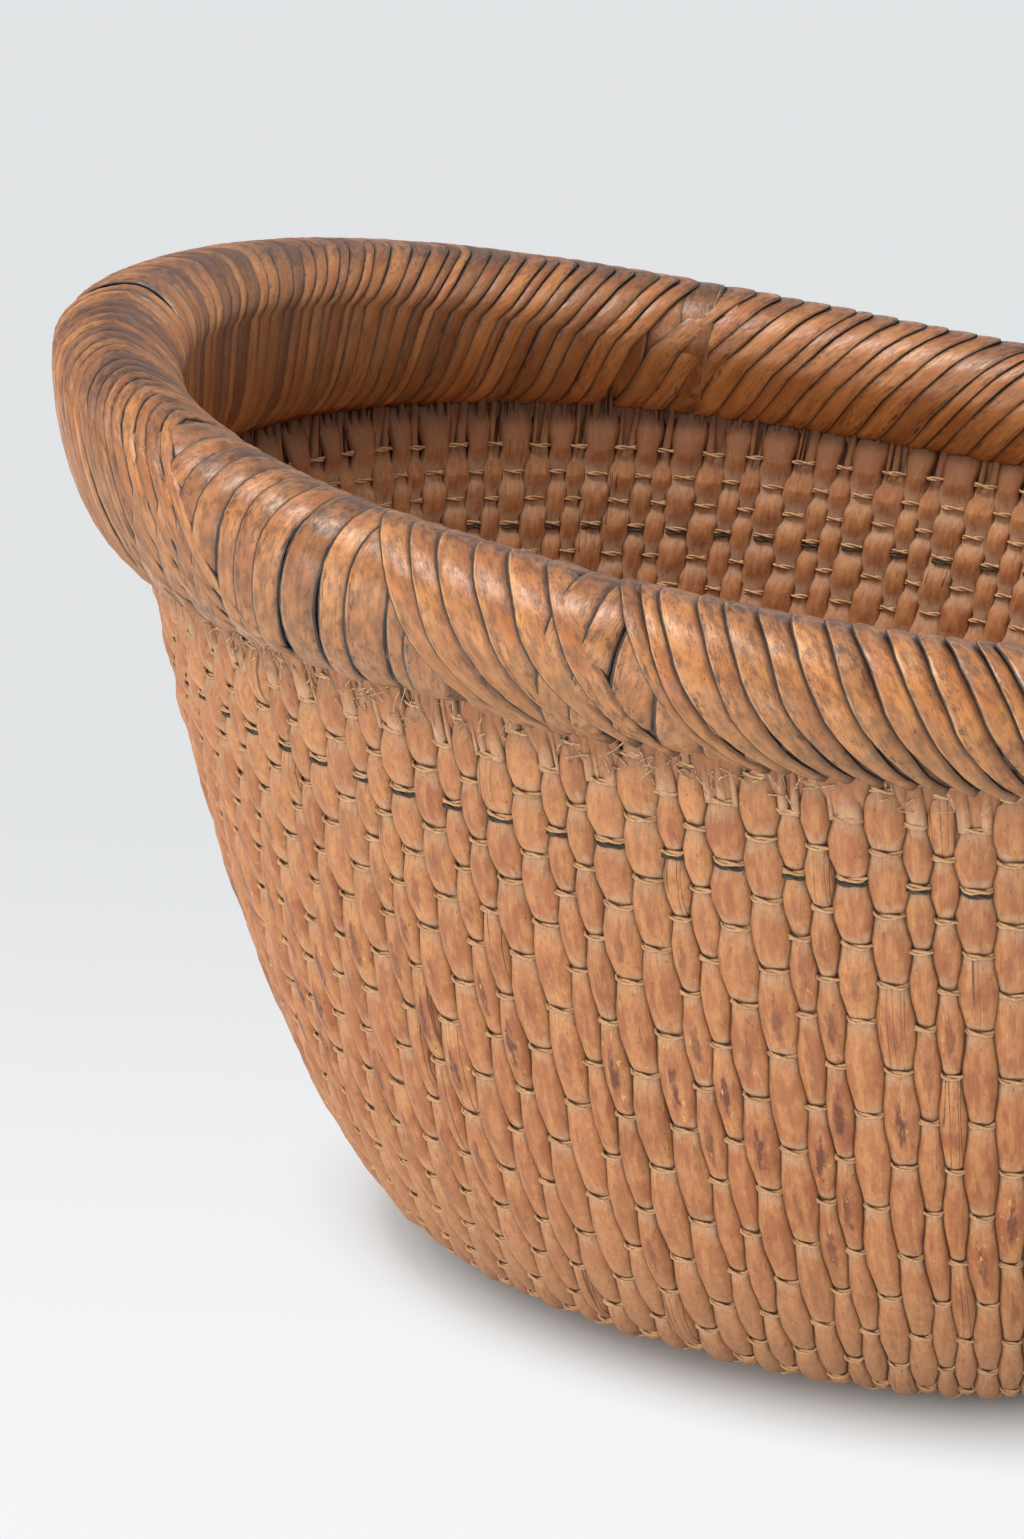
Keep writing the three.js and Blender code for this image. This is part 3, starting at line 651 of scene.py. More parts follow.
def rod_edges_at(down):
    """Shares of the rim at which the rods' edges lie, all pushed together where the wall is tight."""
    inset = wall_profile(np.interp(down, PART_DISTANCE, PART_STEPS))[0] / WALL_DEPTH
    thick = THICK_WEIGHT - THICK_WEIGHT_LOST_BELOW * inset
    weight = np.where(THICK_ROD, thick, 2 - thick)
    plain = ROD_START + (ROD_NUMBERS + 0.5) / RODS
    step = 0.5 / RODS
    here = wall_at(rod_share(plain - step, down), down, 0.0)
    there = wall_at(rod_share(plain + step, down), down, 0.0)
    room = np.linalg.norm(there - here, axis=-1) / (RIM_LENGTH / RODS)
    limits = STOP_ROOM[ROD_NUMBERS % len(STOP_ROOM)]
    limits = limits + chance(5).uniform(-STOP_ROOM_VARIES, STOP_ROOM_VARIES, RODS) * (limits > 0)
    stays = np.where(limits > 0, smooth_step(room, limits - STOP_SOFTNESS, limits + STOP_SOFTNESS), 1.0)
    weight = weight * (GONE_WEIGHT + (1 - GONE_WEIGHT) * stays)
    near = np.exp(-0.5 * (np.minimum(ROD_NUMBERS, RODS - ROD_NUMBERS) / EVEN_OUT_RODS) ** 2)
    blurred = np.real(np.fft.ifft(np.fft.fft(weight) * np.fft.fft(near / near.sum())))
    weight = weight / blurred
    edges = np.concatenate([[0], np.cumsum(weight)]) / weight.sum() * RODS
    edges = edges + np.interp(np.arange(RODS + 1), QUARTERS, QUARTERS - edges[QUARTERS])
    return ROD_START + edges / RODS, stays


EDGE_TABLE, STAY_TABLE = (np.array(table) for table in zip(*(rod_edges_at(down) for down in LEVELS)))


def rod_places(rod, down):
    """Shares of a rod's two edges at distances down the wall."""
    left = np.interp(down, LEVELS, EDGE_TABLE[:, rod])
    right = np.interp(down, LEVELS, EDGE_TABLE[:, rod + 1])
    return rod_share(left, down), rod_share(right, down)


print("rods that reach the bottom:", int((STAY_TABLE[-1] > 0.5).sum()), "of", RODS)

# %% [markdown]
# ## The ties
#
# Eighteen rows of cord run round the wall, closer together near the rim. A row passes in front of every
# second rod and behind the others, and the next row does the opposite. Where a cord crosses in front, the
# rod is pinched and pulled in. Between two such ties it swells out again, which makes the wall look like
# rows of small barrels. The distances of the rows down the wall are the real ones, and the fourth row has a
# second, dark cord lying on it.

# %% Rows of cord
ROWS = np.array([
    10, 17.3, 24.5, 31.6, 39, 46.9, 56, 65.8, 78, 90.6, 104, 117.3, 132, 146.5, 160.5, 174.4, 187, 198.9])
DARK_ROW = 3
ABOVE_FIRST_ROW, BELOW_LAST_ROW = 8, 12


def in_front(rod, row):
    return (rod + row) % 2 == 0


ROW_POSITION = np.concatenate([[-1.0], np.arange(len(ROWS)), [len(ROWS)]])
ROW_PLACES = np.concatenate([[ROWS[0] - ABOVE_FIRST_ROW], ROWS, [ROWS[-1] + BELOW_LAST_ROW]])


def ties_of(rod, front=True):
    """Distances down the wall at which the cord is in front of a rod, or behind it."""
    return np.array([place for row, place in enumerate(ROWS) if in_front(rod, row) == front])


def bow(rod, down):
    """From -1 where the rod is tied from the front to 1 where the cord is behind it."""
    position = np.interp(down, ROW_PLACES, ROW_POSITION)
    return -np.cos(math.pi * (position - rod % 2))


print("ties on rod 0:", len(ties_of(0)), "and on rod 1:", len(ties_of(1)))

# %% [markdown]
# ## The rods of the wall
#
# A rod's section is a flattened oval. On its way down, its width and its height off the wall follow the
# ties. Each rod is its own closed tube, made of rings that are close together at the ties, where the shape
# changes fast, and far apart between them. Above the first tie the real rods are split into strips that
# vanish between the splints of the rim, so there each rod ends and two or three thin strips go on.

# %% The rod's section and its dents
ROD_SIDES = 12
DENTS = ((0.45, 0.9), (0.55, 2.6))
ring_turn = ring_angles(ROD_SIDES, 0.5)
SECTION_ACROSS = power(np.cos(ring_turn), 0.86)
SECTION_UP = power(np.sin(ring_turn), 0.8)


def distance_to(ties, down):
    return np.abs(np.asarray(down)[:, None] - ties[None, :]).min(axis=1)


def groove(gap):
    """How deep a tie draws a rod in at a distance from it: a sharp dent within a wide soft one."""
    return sum(depth * np.exp(-((gap / reach) ** 2)) for depth, reach in DENTS)


print("a dent is full at its tie and", round(float(groove(3.0)), 2), "deep 3 mm from it")

# %% Rings of one rod
WALL_MIDDLE = -2.75
EDGE_WAVE, EDGE_WAVE_BETWEEN_THICK = 0.42, 0.2
FULL_ROD_WIDTH = 6.0
ROD_THICKNESS, ROD_THICKNESS_VARIES = 2.5, 0.12
FRONT_PINCH, BACK_PINCH, SIDE_PINCH = 1.25, 2.1, 0.09
FULLER, UNEVEN, SWAY = 0.03, 0.16, 0.10
MOST_SEGMENTS = 24
SPLIT_THINNER, TUCK_THINNER, TUCKED_IN = 1.9, 2.7, 4.0
SPLIT_WITHIN, TUCK_WITHIN = (0.0, 3.0), (2.0, 14.0)
LOWEST = 0.02
STAINED_AT, STAINED_REACH = 100, 52
TIE_REACH = 12


def rod_rings(rod, down, rng):
    """Rings of a rod at distances down the wall, with what its finish needs."""
    left, right = rod_places(rod, down)
    ties = ties_of(rod)
    gap = distance_to(ties, down)
    gap_behind = distance_to(ties_of(rod, front=False), down)
    dent, dent_behind = groove(gap), groove(gap_behind)
    width = np.linalg.norm(wall_at(right, down, 0.0) - wall_at(left, down, 0.0), axis=-1)
    room = np.clip(width / FULL_ROD_WIDTH, 0.05, 1.0)
    swell = bow(rod, down)
    wave = power(swell, 0.7) * room
    wave_left, wave_right = (
        EDGE_WAVE_BETWEEN_THICK if THICK_ROD[rod] and THICK_ROD[(rod + way) % RODS] else EDGE_WAVE
        for way in (-1, 1))
    segment = np.searchsorted(ties, down)
    fuller = rng.normal(0, FULLER, MOST_SEGMENTS)[segment]
    half = width / 2 * (1.0 + fuller - SIDE_PINCH * np.exp(-((gap / 1.4) ** 2)))
    drift = (wave_right - wave_left) / 2 * wave + SWAY * wobble(rng, down, 55) * room
    half = half + (wave_right + wave_left) / 2 * wave
    thick = (ROD_THICKNESS + ROD_THICKNESS_VARIES * rng.normal()) * room**0.5
    uneven = rng.normal(0, UNEVEN, MOST_SEGMENTS)[segment] * (1 - dent)
    split, tuck = (smooth_step(ties[0] - down, *within) for within in (SPLIT_WITHIN, TUCK_WITHIN))
    outer = thick - FRONT_PINCH * dent * room + uneven - SPLIT_THINNER * split - TUCK_THINNER * tuck
    inner = thick - (BACK_PINCH * dent_behind + 0.25 * swell) * room
    out = SECTION_UP[None, :] > 0
    lift = WALL_MIDDLE + 0.45 * (swell * room)[:, None] + TUCKED_IN * tuck[:, None]
    lift = lift + np.where(out, outer[:, None], inner[:, None]) * SECTION_UP

    shares_a_mm = (right - left) / width
    wider = 1.05 + 0.7 * split - 0.15 * swell
    behind = np.where(SECTION_UP > 0.2, 0.0, wider[:, None])
    behind = behind - (0.5 + 0.2 * swell[:, None]) * (SECTION_UP < -0.5)
    offset = drift[:, None] + (half[:, None] + behind) * SECTION_ACROSS
    at = ((left + right) / 2)[:, None] + shares_a_mm[:, None] * offset
    points = wall_at(at, down[:, None], lift)
    points[..., 2] = np.maximum(points[..., 2], LOWEST)

    by_segment, blot = (rng.uniform(0, 1, MOST_SEGMENTS)[segment] for _ in range(2))
    blot = np.clip((blot - 0.36) * 2.4, 0, 1) * np.exp(-(((down - STAINED_AT) / STAINED_REACH) ** 2))
    edges = np.concatenate([[ties[0] - TUCK_WITHIN[1]], ties, [WALL_LENGTH + BELOW_LAST_ROW]])
    middles, halves = (edges[1:] + edges[:-1]) / 2, (edges[1:] - edges[:-1]) / 2
    tie = np.where(out, gap[:, None], gap_behind[:, None] - 1.6) / TIE_REACH
    wear = joined(np.clip(tie, -0.2, 1), by_segment[:, None], rng.uniform(), np.abs(SECTION_ACROSS))
    place = joined((down - middles[segment])[:, None], halves[segment][:, None], blot[:, None] * out)
    return points, offset, wear, place


# %% Where a rod gets its rings
STEPS_AT_TIE = np.array([-3.6, -2.0, -1.0, -0.4, 0.4, 1.0, 2.0, 3.6])
STEPS_BETWEEN_TIES = (0.36, 0.64)
STEPS_AT_BOTTOM = WALL_LENGTH + np.array([-1, 3, 8])
ABOVE_WALL, PAST_BOTTOM = 9.0, 9.0


def rod_steps(rod):
    """Distances down the wall at which a rod gets a ring: close at the ties, wide between them."""
    ties = ties_of(rod)
    every = ties[:, None] + STEPS_AT_TIE
    middles = [ties[:-1] * (1 - part) + ties[1:] * part for part in STEPS_BETWEEN_TIES]
    steps = np.concatenate([every.ravel(), *middles, STEPS_AT_BOTTOM])
    steps = np.unique(np.round(steps[(steps >= ties[0]) & (steps < WALL_LENGTH + PAST_BOTTOM)], 2))
    return np.concatenate([[-ABOVE_WALL, 0.0, ties[0] * 0.5], steps])


print("rings on rod 0:", len(rod_steps(0)))

# %% Shape the strips above a rod's first tie
STRIP_SIDES = 8
STRIP_COUNTS, STRIP_COUNTS_THICK = (1, 4), (2, 5)
CUT_REACH = 0.75
NARROWEST_STRIP, STRIP_THICKNESS = 0.22, 1.9
NUMBER_A_ROD, NUMBER_A_STRIP = 31, 7


def add_strips(tubes, rod, rng):
    """Adds the thin strips into which a rod is split between its first tie and the rim."""
    first = ties_of(rod)[0]
    down = [first + 0.8, first - 0.8, first * 0.78, first * 0.55, first * 0.3, 0.0, -5.0, -ABOVE_WALL]
    down = np.array(down)
    rise = np.clip(1 - down / first, 0, 1.5)
    left, right = rod_places(rod, np.maximum(down, 0))
    count = int(rng.integers(*(STRIP_COUNTS_THICK if THICK_ROD[rod] else STRIP_COUNTS)))
    cuts = np.concatenate([[-1], np.sort(rng.uniform(-CUT_REACH, CUT_REACH, count - 1)), [1]])
    angle = ring_angles(STRIP_SIDES, 0.5)
    for strip, (low, high) in enumerate(zip(cuts[:-1], cuts[1:])):
        if high - low < NARROWEST_STRIP:
            continue
        centre = (low + high) / 2 + rng.normal(0, 0.14) * rise
        half = (high - low) / 2 * (0.96 - rng.uniform(0.25, 0.55) * np.clip(rise * 1.3, 0, 1.2))
        lift = WALL_MIDDLE + 0.9 * np.clip(rise * 3, 0, 1) + rng.uniform(-0.6, 0.8) * rise**1.5
        thick = (STRIP_THICKNESS - 0.8 * np.clip(rise, 0, 1)) * min(1.0, 0.6 + 0.35 * (high - low))
        at = ((left + right) / 2 + (right - left) / 2 * centre)[:, None]
        at = at + ((right - left) / 2 * half)[:, None] * power(np.cos(angle), 0.7)
        points = wall_at(at, down[:, None], lift[:, None] + thick[:, None] * power(np.sin(angle), 0.75))
        tie = np.clip((first - down[:, None]) / 26, 0.02, 0.3)
        wear = joined(tie, rng.uniform(), rng.uniform(), np.abs(np.cos(angle)) * 0.8)
        across = np.cos(angle) * (high - low) * 1.6
        number = NUMBER_A_ROD * rod + NUMBER_A_STRIP * strip
        tubes.add(points[::-1], down[::-1, None], across, number, wear[::-1])


# %% Build the nineteen groups of rods
ROD_GROUPS = 19
ROD_SEED = 100
GONE = 0.06
STEPS_AT_STOP = np.array([-7, -2, 4])
total_rings = 0
wall_groups = [Tubes() for _ in range(ROD_GROUPS)]
for rod in range(RODS):
    rng = chance(ROD_SEED + rod)
    rods = wall_groups[int((ROD_START + (rod + 0.5) / RODS) % 1 * ROD_GROUPS)]
    gone = STAY_TABLE[:, rod] < GONE
    last = LEVELS[np.argmax(gone)] if gone.any() else WALL_LENGTH + PAST_BOTTOM
    down = rod_steps(rod)
    if last < WALL_LENGTH:
        down = np.unique(np.concatenate([down[down < last + 3], last + STEPS_AT_STOP]))
    points, across, wear, place = rod_rings(rod, down, rng)
    rods.add(points[::-1], down[::-1, None], across[::-1], NUMBER_A_ROD * rod, wear[::-1], place[::-1])
    add_strips(rods, rod, rng)
    total_rings += len(down)
for group, rods in enumerate(wall_groups):
    piece = rods.build(f"rods_{group + 1:02d}", WILLOW)
    dress(piece, "willow_rods", f"wall_rods_{group + 1:02d}")
print("rings in the wall:", total_rings)

# %% Shape one loose fibre
FIBRE_WAY = ((0.05, 0.45), 0.8, (-0.3, 0.6))
FIBRE_BEND = ((-0.25, 0.15), 0.5, (-0.1, 0.5))
FIBRE_RADIUS = 0.16
FIBRE_SIDES, FIBRE_STEPS = 4, 6


def add_lint(tubes, share, down, lift, length, number, rng):
    """One loose fibre: a thin curved thread that starts on the wall or a strip."""
    start = wall_at(share, down, lift)
    outward = wall_at(share, down, lift + 1.0) - start
    onward = wall_at(share + 1 / RIM_LENGTH, down, lift) - start
    way, bend = (
        outward * rng.uniform(*out) + onward * rng.normal(0, aside) + np.array([0, 0, rng.normal(*up)])
        for out, aside, up in (FIBRE_WAY, FIBRE_BEND))
    part = np.linspace(0, 1, FIBRE_STEPS)[:, None]
    path = start + length * (unit(way) * part + 0.5 * bend * part**2)
    ahead = unit(np.gradient(path, axis=0))
    across = unit(np.cross(ahead, outward))
    reach = (FIBRE_RADIUS * rng.uniform(0.6, 1.5) * (1 - 0.6 * part[:, 0]))[:, None, None]
    rings = rings_round(path, reach, ring_angles(FIBRE_SIDES), across, np.cross(ahead, across))
    wear = np.array([0.5, rng.uniform(), rng.uniform(), 0.5])
    tubes.add(rings, part * length, 0.0, number, wear)


# %% Frayed fibres under the rim
# Tufts: where each has its middle, how far it spreads in shares of the rim, and its number of fibres
LINT_PLACES = [
    (0.640, 0.010, 40), (0.668, 0.012, 60), (0.700, 0.012, 50), (0.752, 0.008, 70), (0.775, 0.012, 40),
    (0.810, 0.020, 30), (0.5, 0.29, 160)]
LINT_DOWN, LINT_LIFT, LINT_LENGTH = (-1, 14), (-1.5, 0.3), (1.5, 5.5)
LINT_SEED, LINT_NUMBER = 640, 900
lint = Tubes()
rng = chance(LINT_SEED)
number = LINT_NUMBER
for middle, spread, count in LINT_PLACES:
    for _ in range(count):
        share = middle + spread * float(np.clip(rng.normal(), -2, 2))
        down, lift, length = (rng.uniform(*limits) for limits in (LINT_DOWN, LINT_LIFT, LINT_LENGTH))
        add_lint(lint, share, down, lift, length, number, rng)
        number += 1
piece = lint.build("lint", LINT)
dress(piece, "hemp_cord")
print("loose fibres:", number - LINT_NUMBER)

# %% [markdown]
# ## The cords
#
# The cord is two strands twisted together, about one millimetre thick. A round tube would do from far away,
# but the twist catches the light, so each strand is a thin tube of its own and winds round the other one.
# The cord's path follows the rods it meets at its own level: in front of one, between two, behind the next.

# %% Lay one row of cord
CORD_SIDES = 5
CORD_STEPS_A_ROD = 6
FRONT_LIFT, BACK_LIFT = -1.15, -4.7
MIDDLE_LIFT = (FRONT_LIFT + BACK_LIFT) / 2
CORD_RADIUS, CORD_TWIST = 0.34, 9.5
CORD_WAVE, CORD_WAVES_AROUND = 0.25, 23
CROSSING = (0.22, 0.78)
STRANDS_APART, STRANDS_FLATTER, STRAND_VARIES = 1.05, 0.8, 0.12
CORD_SEED = 500


def cord_path(row, down_shift):
    """Shares, distances down and lifts of a cord at many steps along its row."""
    place = ROWS[row]
    stays = np.array([np.interp(place, LEVELS, STAY_TABLE[:, rod]) for rod in range(RODS)])
    held = np.flatnonzero(stays > 0.5)
    sides = [rod_places(rod, np.array([place])) for rod in held]
    centres = np.array([(left[0] + right[0]) / 2 for left, right in sides])
    front = np.where(in_front(held, row), 1.0, -1.0)
    position = np.arange(len(held) * CORD_STEPS_A_ROD) / CORD_STEPS_A_ROD
    whole = np.floor(position).astype(int)
    part = position - whole
    following = np.append(centres[1:], centres[0] + 1)
    share = centres[whole] + (following - centres)[whole] * part
    blend = smooth_step(part, *CROSSING)
    side = front[whole] * (1 - blend) + np.roll(front, -1)[whole] * blend
    lift = MIDDLE_LIFT + side * (FRONT_LIFT - BACK_LIFT) / 2
    return share, np.full_like(share, place + down_shift), lift


def lay_cord(tubes, row, number, radius=CORD_RADIUS, twist=CORD_TWIST, down_shift=0.0, out_shift=0.0):
    """Adds the two strands of a cord and gives its length. twist is how long one turn is, in millimetres."""
    rng = chance(CORD_SEED + number)
    share, down, lift = cord_path(row, down_shift)
    down = down + CORD_WAVE * wobble(rng, share * RIM_LENGTH, RIM_LENGTH / CORD_WAVES_AROUND)
    lift = lift + out_shift * (lift > MIDDLE_LIFT)
    middle = wall_at(share, down, lift)
    ahead = unit(np.roll(middle, -1, axis=0) - np.roll(middle, 1, axis=0))
    outward = wall_at(share, down, lift + 1) - middle
    outward = unit(outward - (outward * ahead).sum(1)[:, None] * ahead)
    upward_way = np.cross(ahead, outward)
    along = np.concatenate([[0], np.cumsum(np.linalg.norm(np.diff(middle, axis=0), axis=1))])
    turns = round(along[-1] / twist) / along[-1]
    angle = ring_angles(CORD_SIDES)
    for strand in (0, 1):
        lay = (TURN * turns * along + strand * TURN / 2)[:, None]
        apart = (radius * (STRANDS_APART + STRAND_VARIES * wobble(rng, along, 11.0)))[:, None]
        centre = middle + apart * (np.cos(lay) * outward * STRANDS_FLATTER + np.sin(lay) * upward_way)
        reach = (radius * (1 + STRAND_VARIES * wobble(rng, along, 6.0)))[:, None, None]
        rings = rings_round(centre, reach, angle, outward, upward_way)
        wear = np.array([0.5, rng.uniform(), rng.uniform(), 0.5])
        tubes.add(rings[:, ::-1], along[:, None], angle * radius, number + strand, wear, closed=True)
    return along[-1]


# %% Lay all the rows
CORD_NODES = {7: ["cord_row_2"], 10: ["cord_row_3"], 13: ["cord_row_4"], 16: ["cord_row_5"]}
MAKE_WAY = -0.4
DARK_NUMBER = 40
for row in range(len(ROWS)):
    cord = Tubes()
    lay_cord(cord, row, row, down_shift=MAKE_WAY if row == DARK_ROW else 0.0)
    piece = cord.build(f"cord_{row + 1:02d}", HEMP)
    dress(piece, "hemp_cord", *CORD_NODES.get(row, []))
dark = Tubes()
length = lay_cord(dark, DARK_ROW, DARK_NUMBER, radius=0.27, twist=8.0, down_shift=0.75, out_shift=0.15)
piece = dark.build("cord_dark", DARK_HEMP)
dress(piece, "dark_cord", "cord_row_dark")
print("the dark cord is", round(length), "mm long")

# %% [markdown]
# ## The bundle and the splints of the rim
#
# The rim is wound round and round with flat splints. Each turn leans: from the crest it runs down and
# counterclockwise on the outside and on the inside too, so on top it makes a small arrowhead. Every splint
# lies with one edge over its neighbour, like roof tiles. At a few places a new splint starts, and for a
# hand's breadth only an upright under-layer shows, half covered by the first leaning turns. So there are two
# layers: upright splints all the way round, and leaning ones over them where the real rim has them.

# %% The bundle
RIM_PIECES = 8
BUNDLE_STEPS, BUNDLE_SIDES = 24, 24
BUNDLE_GAP = 0.0001
BUNDLE_LIFT, RIDGE_HEIGHT, BUNDLE_RIDGES = -2.3, 0.25, 9
BUNDLE_NUMBER = 900
for length_number in range(RIM_PIECES):
    bundle = Tubes()
    first, last = length_number / RIM_PIECES + BUNDLE_GAP, (length_number + 1) / RIM_PIECES - BUNDLE_GAP
    share = np.linspace(first, last, BUNDLE_STEPS)[:, None]
    angle = ring_angles(BUNDLE_SIDES)[None, :]
    ridge = RIDGE_HEIGHT * np.cos(angle * BUNDLE_RIDGES + 3 * np.sin(share * 40))
    points = rim_at(share, angle, BUNDLE_LIFT + ridge)
    bundle.add(points, share * RIM_LENGTH, angle * 14, BUNDLE_NUMBER + length_number, np.full(4, 0.5))
    piece = bundle.build(f"bundle_{length_number + 1}", BUNDLE)
    dress(piece, "rim_bundle", f"rim_core_{length_number + 1}")
print("bundle lengths:", RIM_PIECES)

# %% Shape one splint
SPLINT_STEPS = 32
SPLINT_LENGTH = 105
APEX, INNER_END = math.radians(76), math.radians(241)
OUTSIDE_TO, INSIDE_TO = math.radians(-80), math.radians(256)
OVER_WALL, OVER_WALL_REACH = math.radians(218), math.radians(20)
FINGER = 76  # degrees
SOFT_APEX = 0.05
SPLINT_THICKNESS, EDGE_DROP = 0.85, 0.22
splint_across = np.array([-1.0, -0.95, -0.64, -0.22, 0.22, 0.64, 0.95, 1.0, 0.6, -0.6])
splint_back = np.array([0, 0, 0, 0, 0, 0, 0, 0, 1, 1])


def splint_lean(angle, lean_out, lean_in):
    """How far a splint has moved counterclockwise from its apex, in shares, as it goes down each side."""
    outside, inside = (APEX - angle) / (APEX - OUTSIDE_TO), (angle - APEX) / (INSIDE_TO - APEX)
    outside, inside = (
        np.sqrt(np.maximum(part, 0) ** 2 + SOFT_APEX * SOFT_APEX) - SOFT_APEX for part in (outside, inside))
    return lean_out * (0.80 * outside + 0.20 * outside**3) + lean_in * inside


def add_splint(tubes, share, half_width, leans, section, covered, number, rng, end, tip, brownness):
    """half_width is in millimetres along the rim. section holds the lift, the tilt, which raises the
    clockwise edge over the splint before, and the crown. end is where the outer end lies, in degrees, and
    tip is how much it narrows to a finger."""
    lift, tilt, crown = section
    angle = np.linspace(math.radians(end), INNER_END, SPLINT_STEPS)
    along = np.linspace(0, SPLINT_LENGTH, SPLINT_STEPS)
    middle = share + splint_lean(angle, *leans) + 0.4 / RIM_LENGTH * wobble(rng, along, 60)
    low = smooth_step(math.radians(end + FINGER) - angle, 0.0, math.radians(FINGER)) * tip
    left = -half_width * (1 + 0.06 * wobble(rng, along, 34)) + low * half_width * 1.45
    right = half_width * (1 + 0.06 * wobble(rng, along, 31)) - low * half_width * 0.15
    side = (splint_across[None, :] + 1) / 2
    offset = left[:, None] * (1 - side) + right[:, None] * side
    at = middle[:, None] + offset / RIM_LENGTH
    top = lift + crown * (1 - splint_across**2) - tilt * splint_across * 0.5
    over_wall = np.exp(-(((angle - OVER_WALL) / OVER_WALL_REACH) ** 2))
    top = top + (0.12 * wobble(rng, along, 43) - 0.5 * low + 1.6 * over_wall)[:, None]
    edge_drop = np.where(np.abs(splint_across) == 1.0, EDGE_DROP, 0.0)
    thick = np.where(splint_back == 1, SPLINT_THICKNESS, edge_drop)
    points = rim_at(at, angle[:, None], top - thick)
    out_share = np.clip((APEX - angle) / (APEX - math.radians(end)), -1, 1)
    wear = joined(out_share[:, None], brownness, rng.uniform(), np.abs(splint_across))
    place = joined(splint_across[None, :], covered, splint_back)
    tubes.add(points[:, ::-1], along[:, None], offset[:, ::-1], number, wear[:, ::-1], place[:, ::-1])


print("a splint has", SPLINT_STEPS, "rings")

# %% Plan the leaning splints round the rim
# Stretches of the rim: where the apexes start and end, how far the splints lean outside and inside, the
# pitch, the tilt and the crown in millimetres, and the width in pitches
STRETCHES = [
    (0.750, 0.905, 0.0215, 0.036, 6.4, 1.45, 0.40, 1.16),
    (0.930, 1.075, 0.0230, 0.034, 6.6, 1.30, 0.40, 1.14),
    (1.090, 1.330, 0.0200, 0.040, 7.2, 0.60, 0.28, 1.08),
    (1.340, 1.530, 0.0330, 0.036, 5.6, 0.55, 0.50, 1.02),
    (1.535, 1.634, 0.0540, 0.030, 4.8, 0.40, 0.62, 1.00),
    (1.6975, 1.7405, 0.0270, 0.030, 7.0, 1.45, 0.40, 1.16),
]
BARE_STRETCHES = [(0.905, 0.930), (1.075, 1.090), (1.330, 1.340), (1.634, 1.6975), (1.7405, 1.750)]
STEP_SIZES, STEP_CHANCES = [0.66, 0.9, 1.0, 1.08, 1.25], [0.14, 0.22, 0.26, 0.22, 0.16]
START_LEAN, START_REACH = 0.006, 0.012
LEANING_SEED = 900

leaning = []
rng = chance(LEANING_SEED)
for first, last, lean_out, lean_in, pitch, *section in STRETCHES:
    at = first
    while at < last - 0.3 * pitch / RIM_LENGTH:
        step = pitch * rng.choice(STEP_SIZES, p=STEP_CHANCES)
        starting = START_LEAN * math.exp(-(at - first) / START_REACH)
        leaning.append((at + step / 2 / RIM_LENGTH, step / 2, lean_out + starting, lean_in, *section))
        at += step / RIM_LENGTH
print("leaning splints:", len(leaning))

# %% Helpers: where the under-layer shows, and how brown a splint is
def bare(share, further):
    """1 where the under-layer shows. Its lower ends show further along than its apexes."""
    total = 0.0
    for first, last in BARE_STRETCHES:
        for turn_back in (-1, 0, 1):
            at = share + turn_back
            ended = smooth_step(at, last + further - 0.002, last + further + 0.012)
            total = max(total, float(smooth_step(at, first - 0.004, first + 0.004) * (1 - ended)))
    return total


def brownness_at(share, rng):
    """Splints vary and are darker round the raised end. On the far side they are lighter, as painted light.
    """
    share = share % 1
    raised_end = smooth_step(share, 0.34, 0.44) * (1 - smooth_step(share, 0.585, 0.625))
    far_side_painted_light = smooth_step(share, 0.04, 0.08) * (1 - smooth_step(share, 0.30, 0.36))
    return float(np.clip(0.20 + 0.28 * rng.normal() + 0.38 * raised_end - 0.26 * far_side_painted_light, 0, 1))


print("share of the rim where the under-layer shows at the crest:",
      round(float(np.mean([bare(share, 0.0) for share in np.linspace(0, 1, 200)])), 2))

# %% Lay the leaning splints
OVERHANG, OVERHANG_VARIES = -84, 8
LEANING_LIFT = -0.70
SPLINT_SEEDS, SPLINT_NUMBER = 2000, 40
layers, under_layers = ([Tubes() for _ in range(RIM_PIECES)] for _ in range(2))
for number, (share, half, lean_out, lean_in, tilt, crown, overlap) in enumerate(leaning):
    tubes = layers[int((share % 1) * RIM_PIECES)]
    following = leaning[(number + 1) % len(leaning)][1]
    covered = (half + following - overlap * following) / (overlap * half)
    rng = chance(SPLINT_SEEDS + number)
    end = OVERHANG + rng.uniform(-OVERHANG_VARIES, OVERHANG_VARIES)
    leans, section = (lean_out, lean_in), (LEANING_LIFT, tilt, crown)
    add_splint(tubes, share, half * overlap, leans, section, covered, SPLINT_NUMBER + 3 * number,
               rng, end, 1.0, brownness_at(share, rng))
print("leaning splints in each length:", [len(tubes.quads) for tubes in layers])

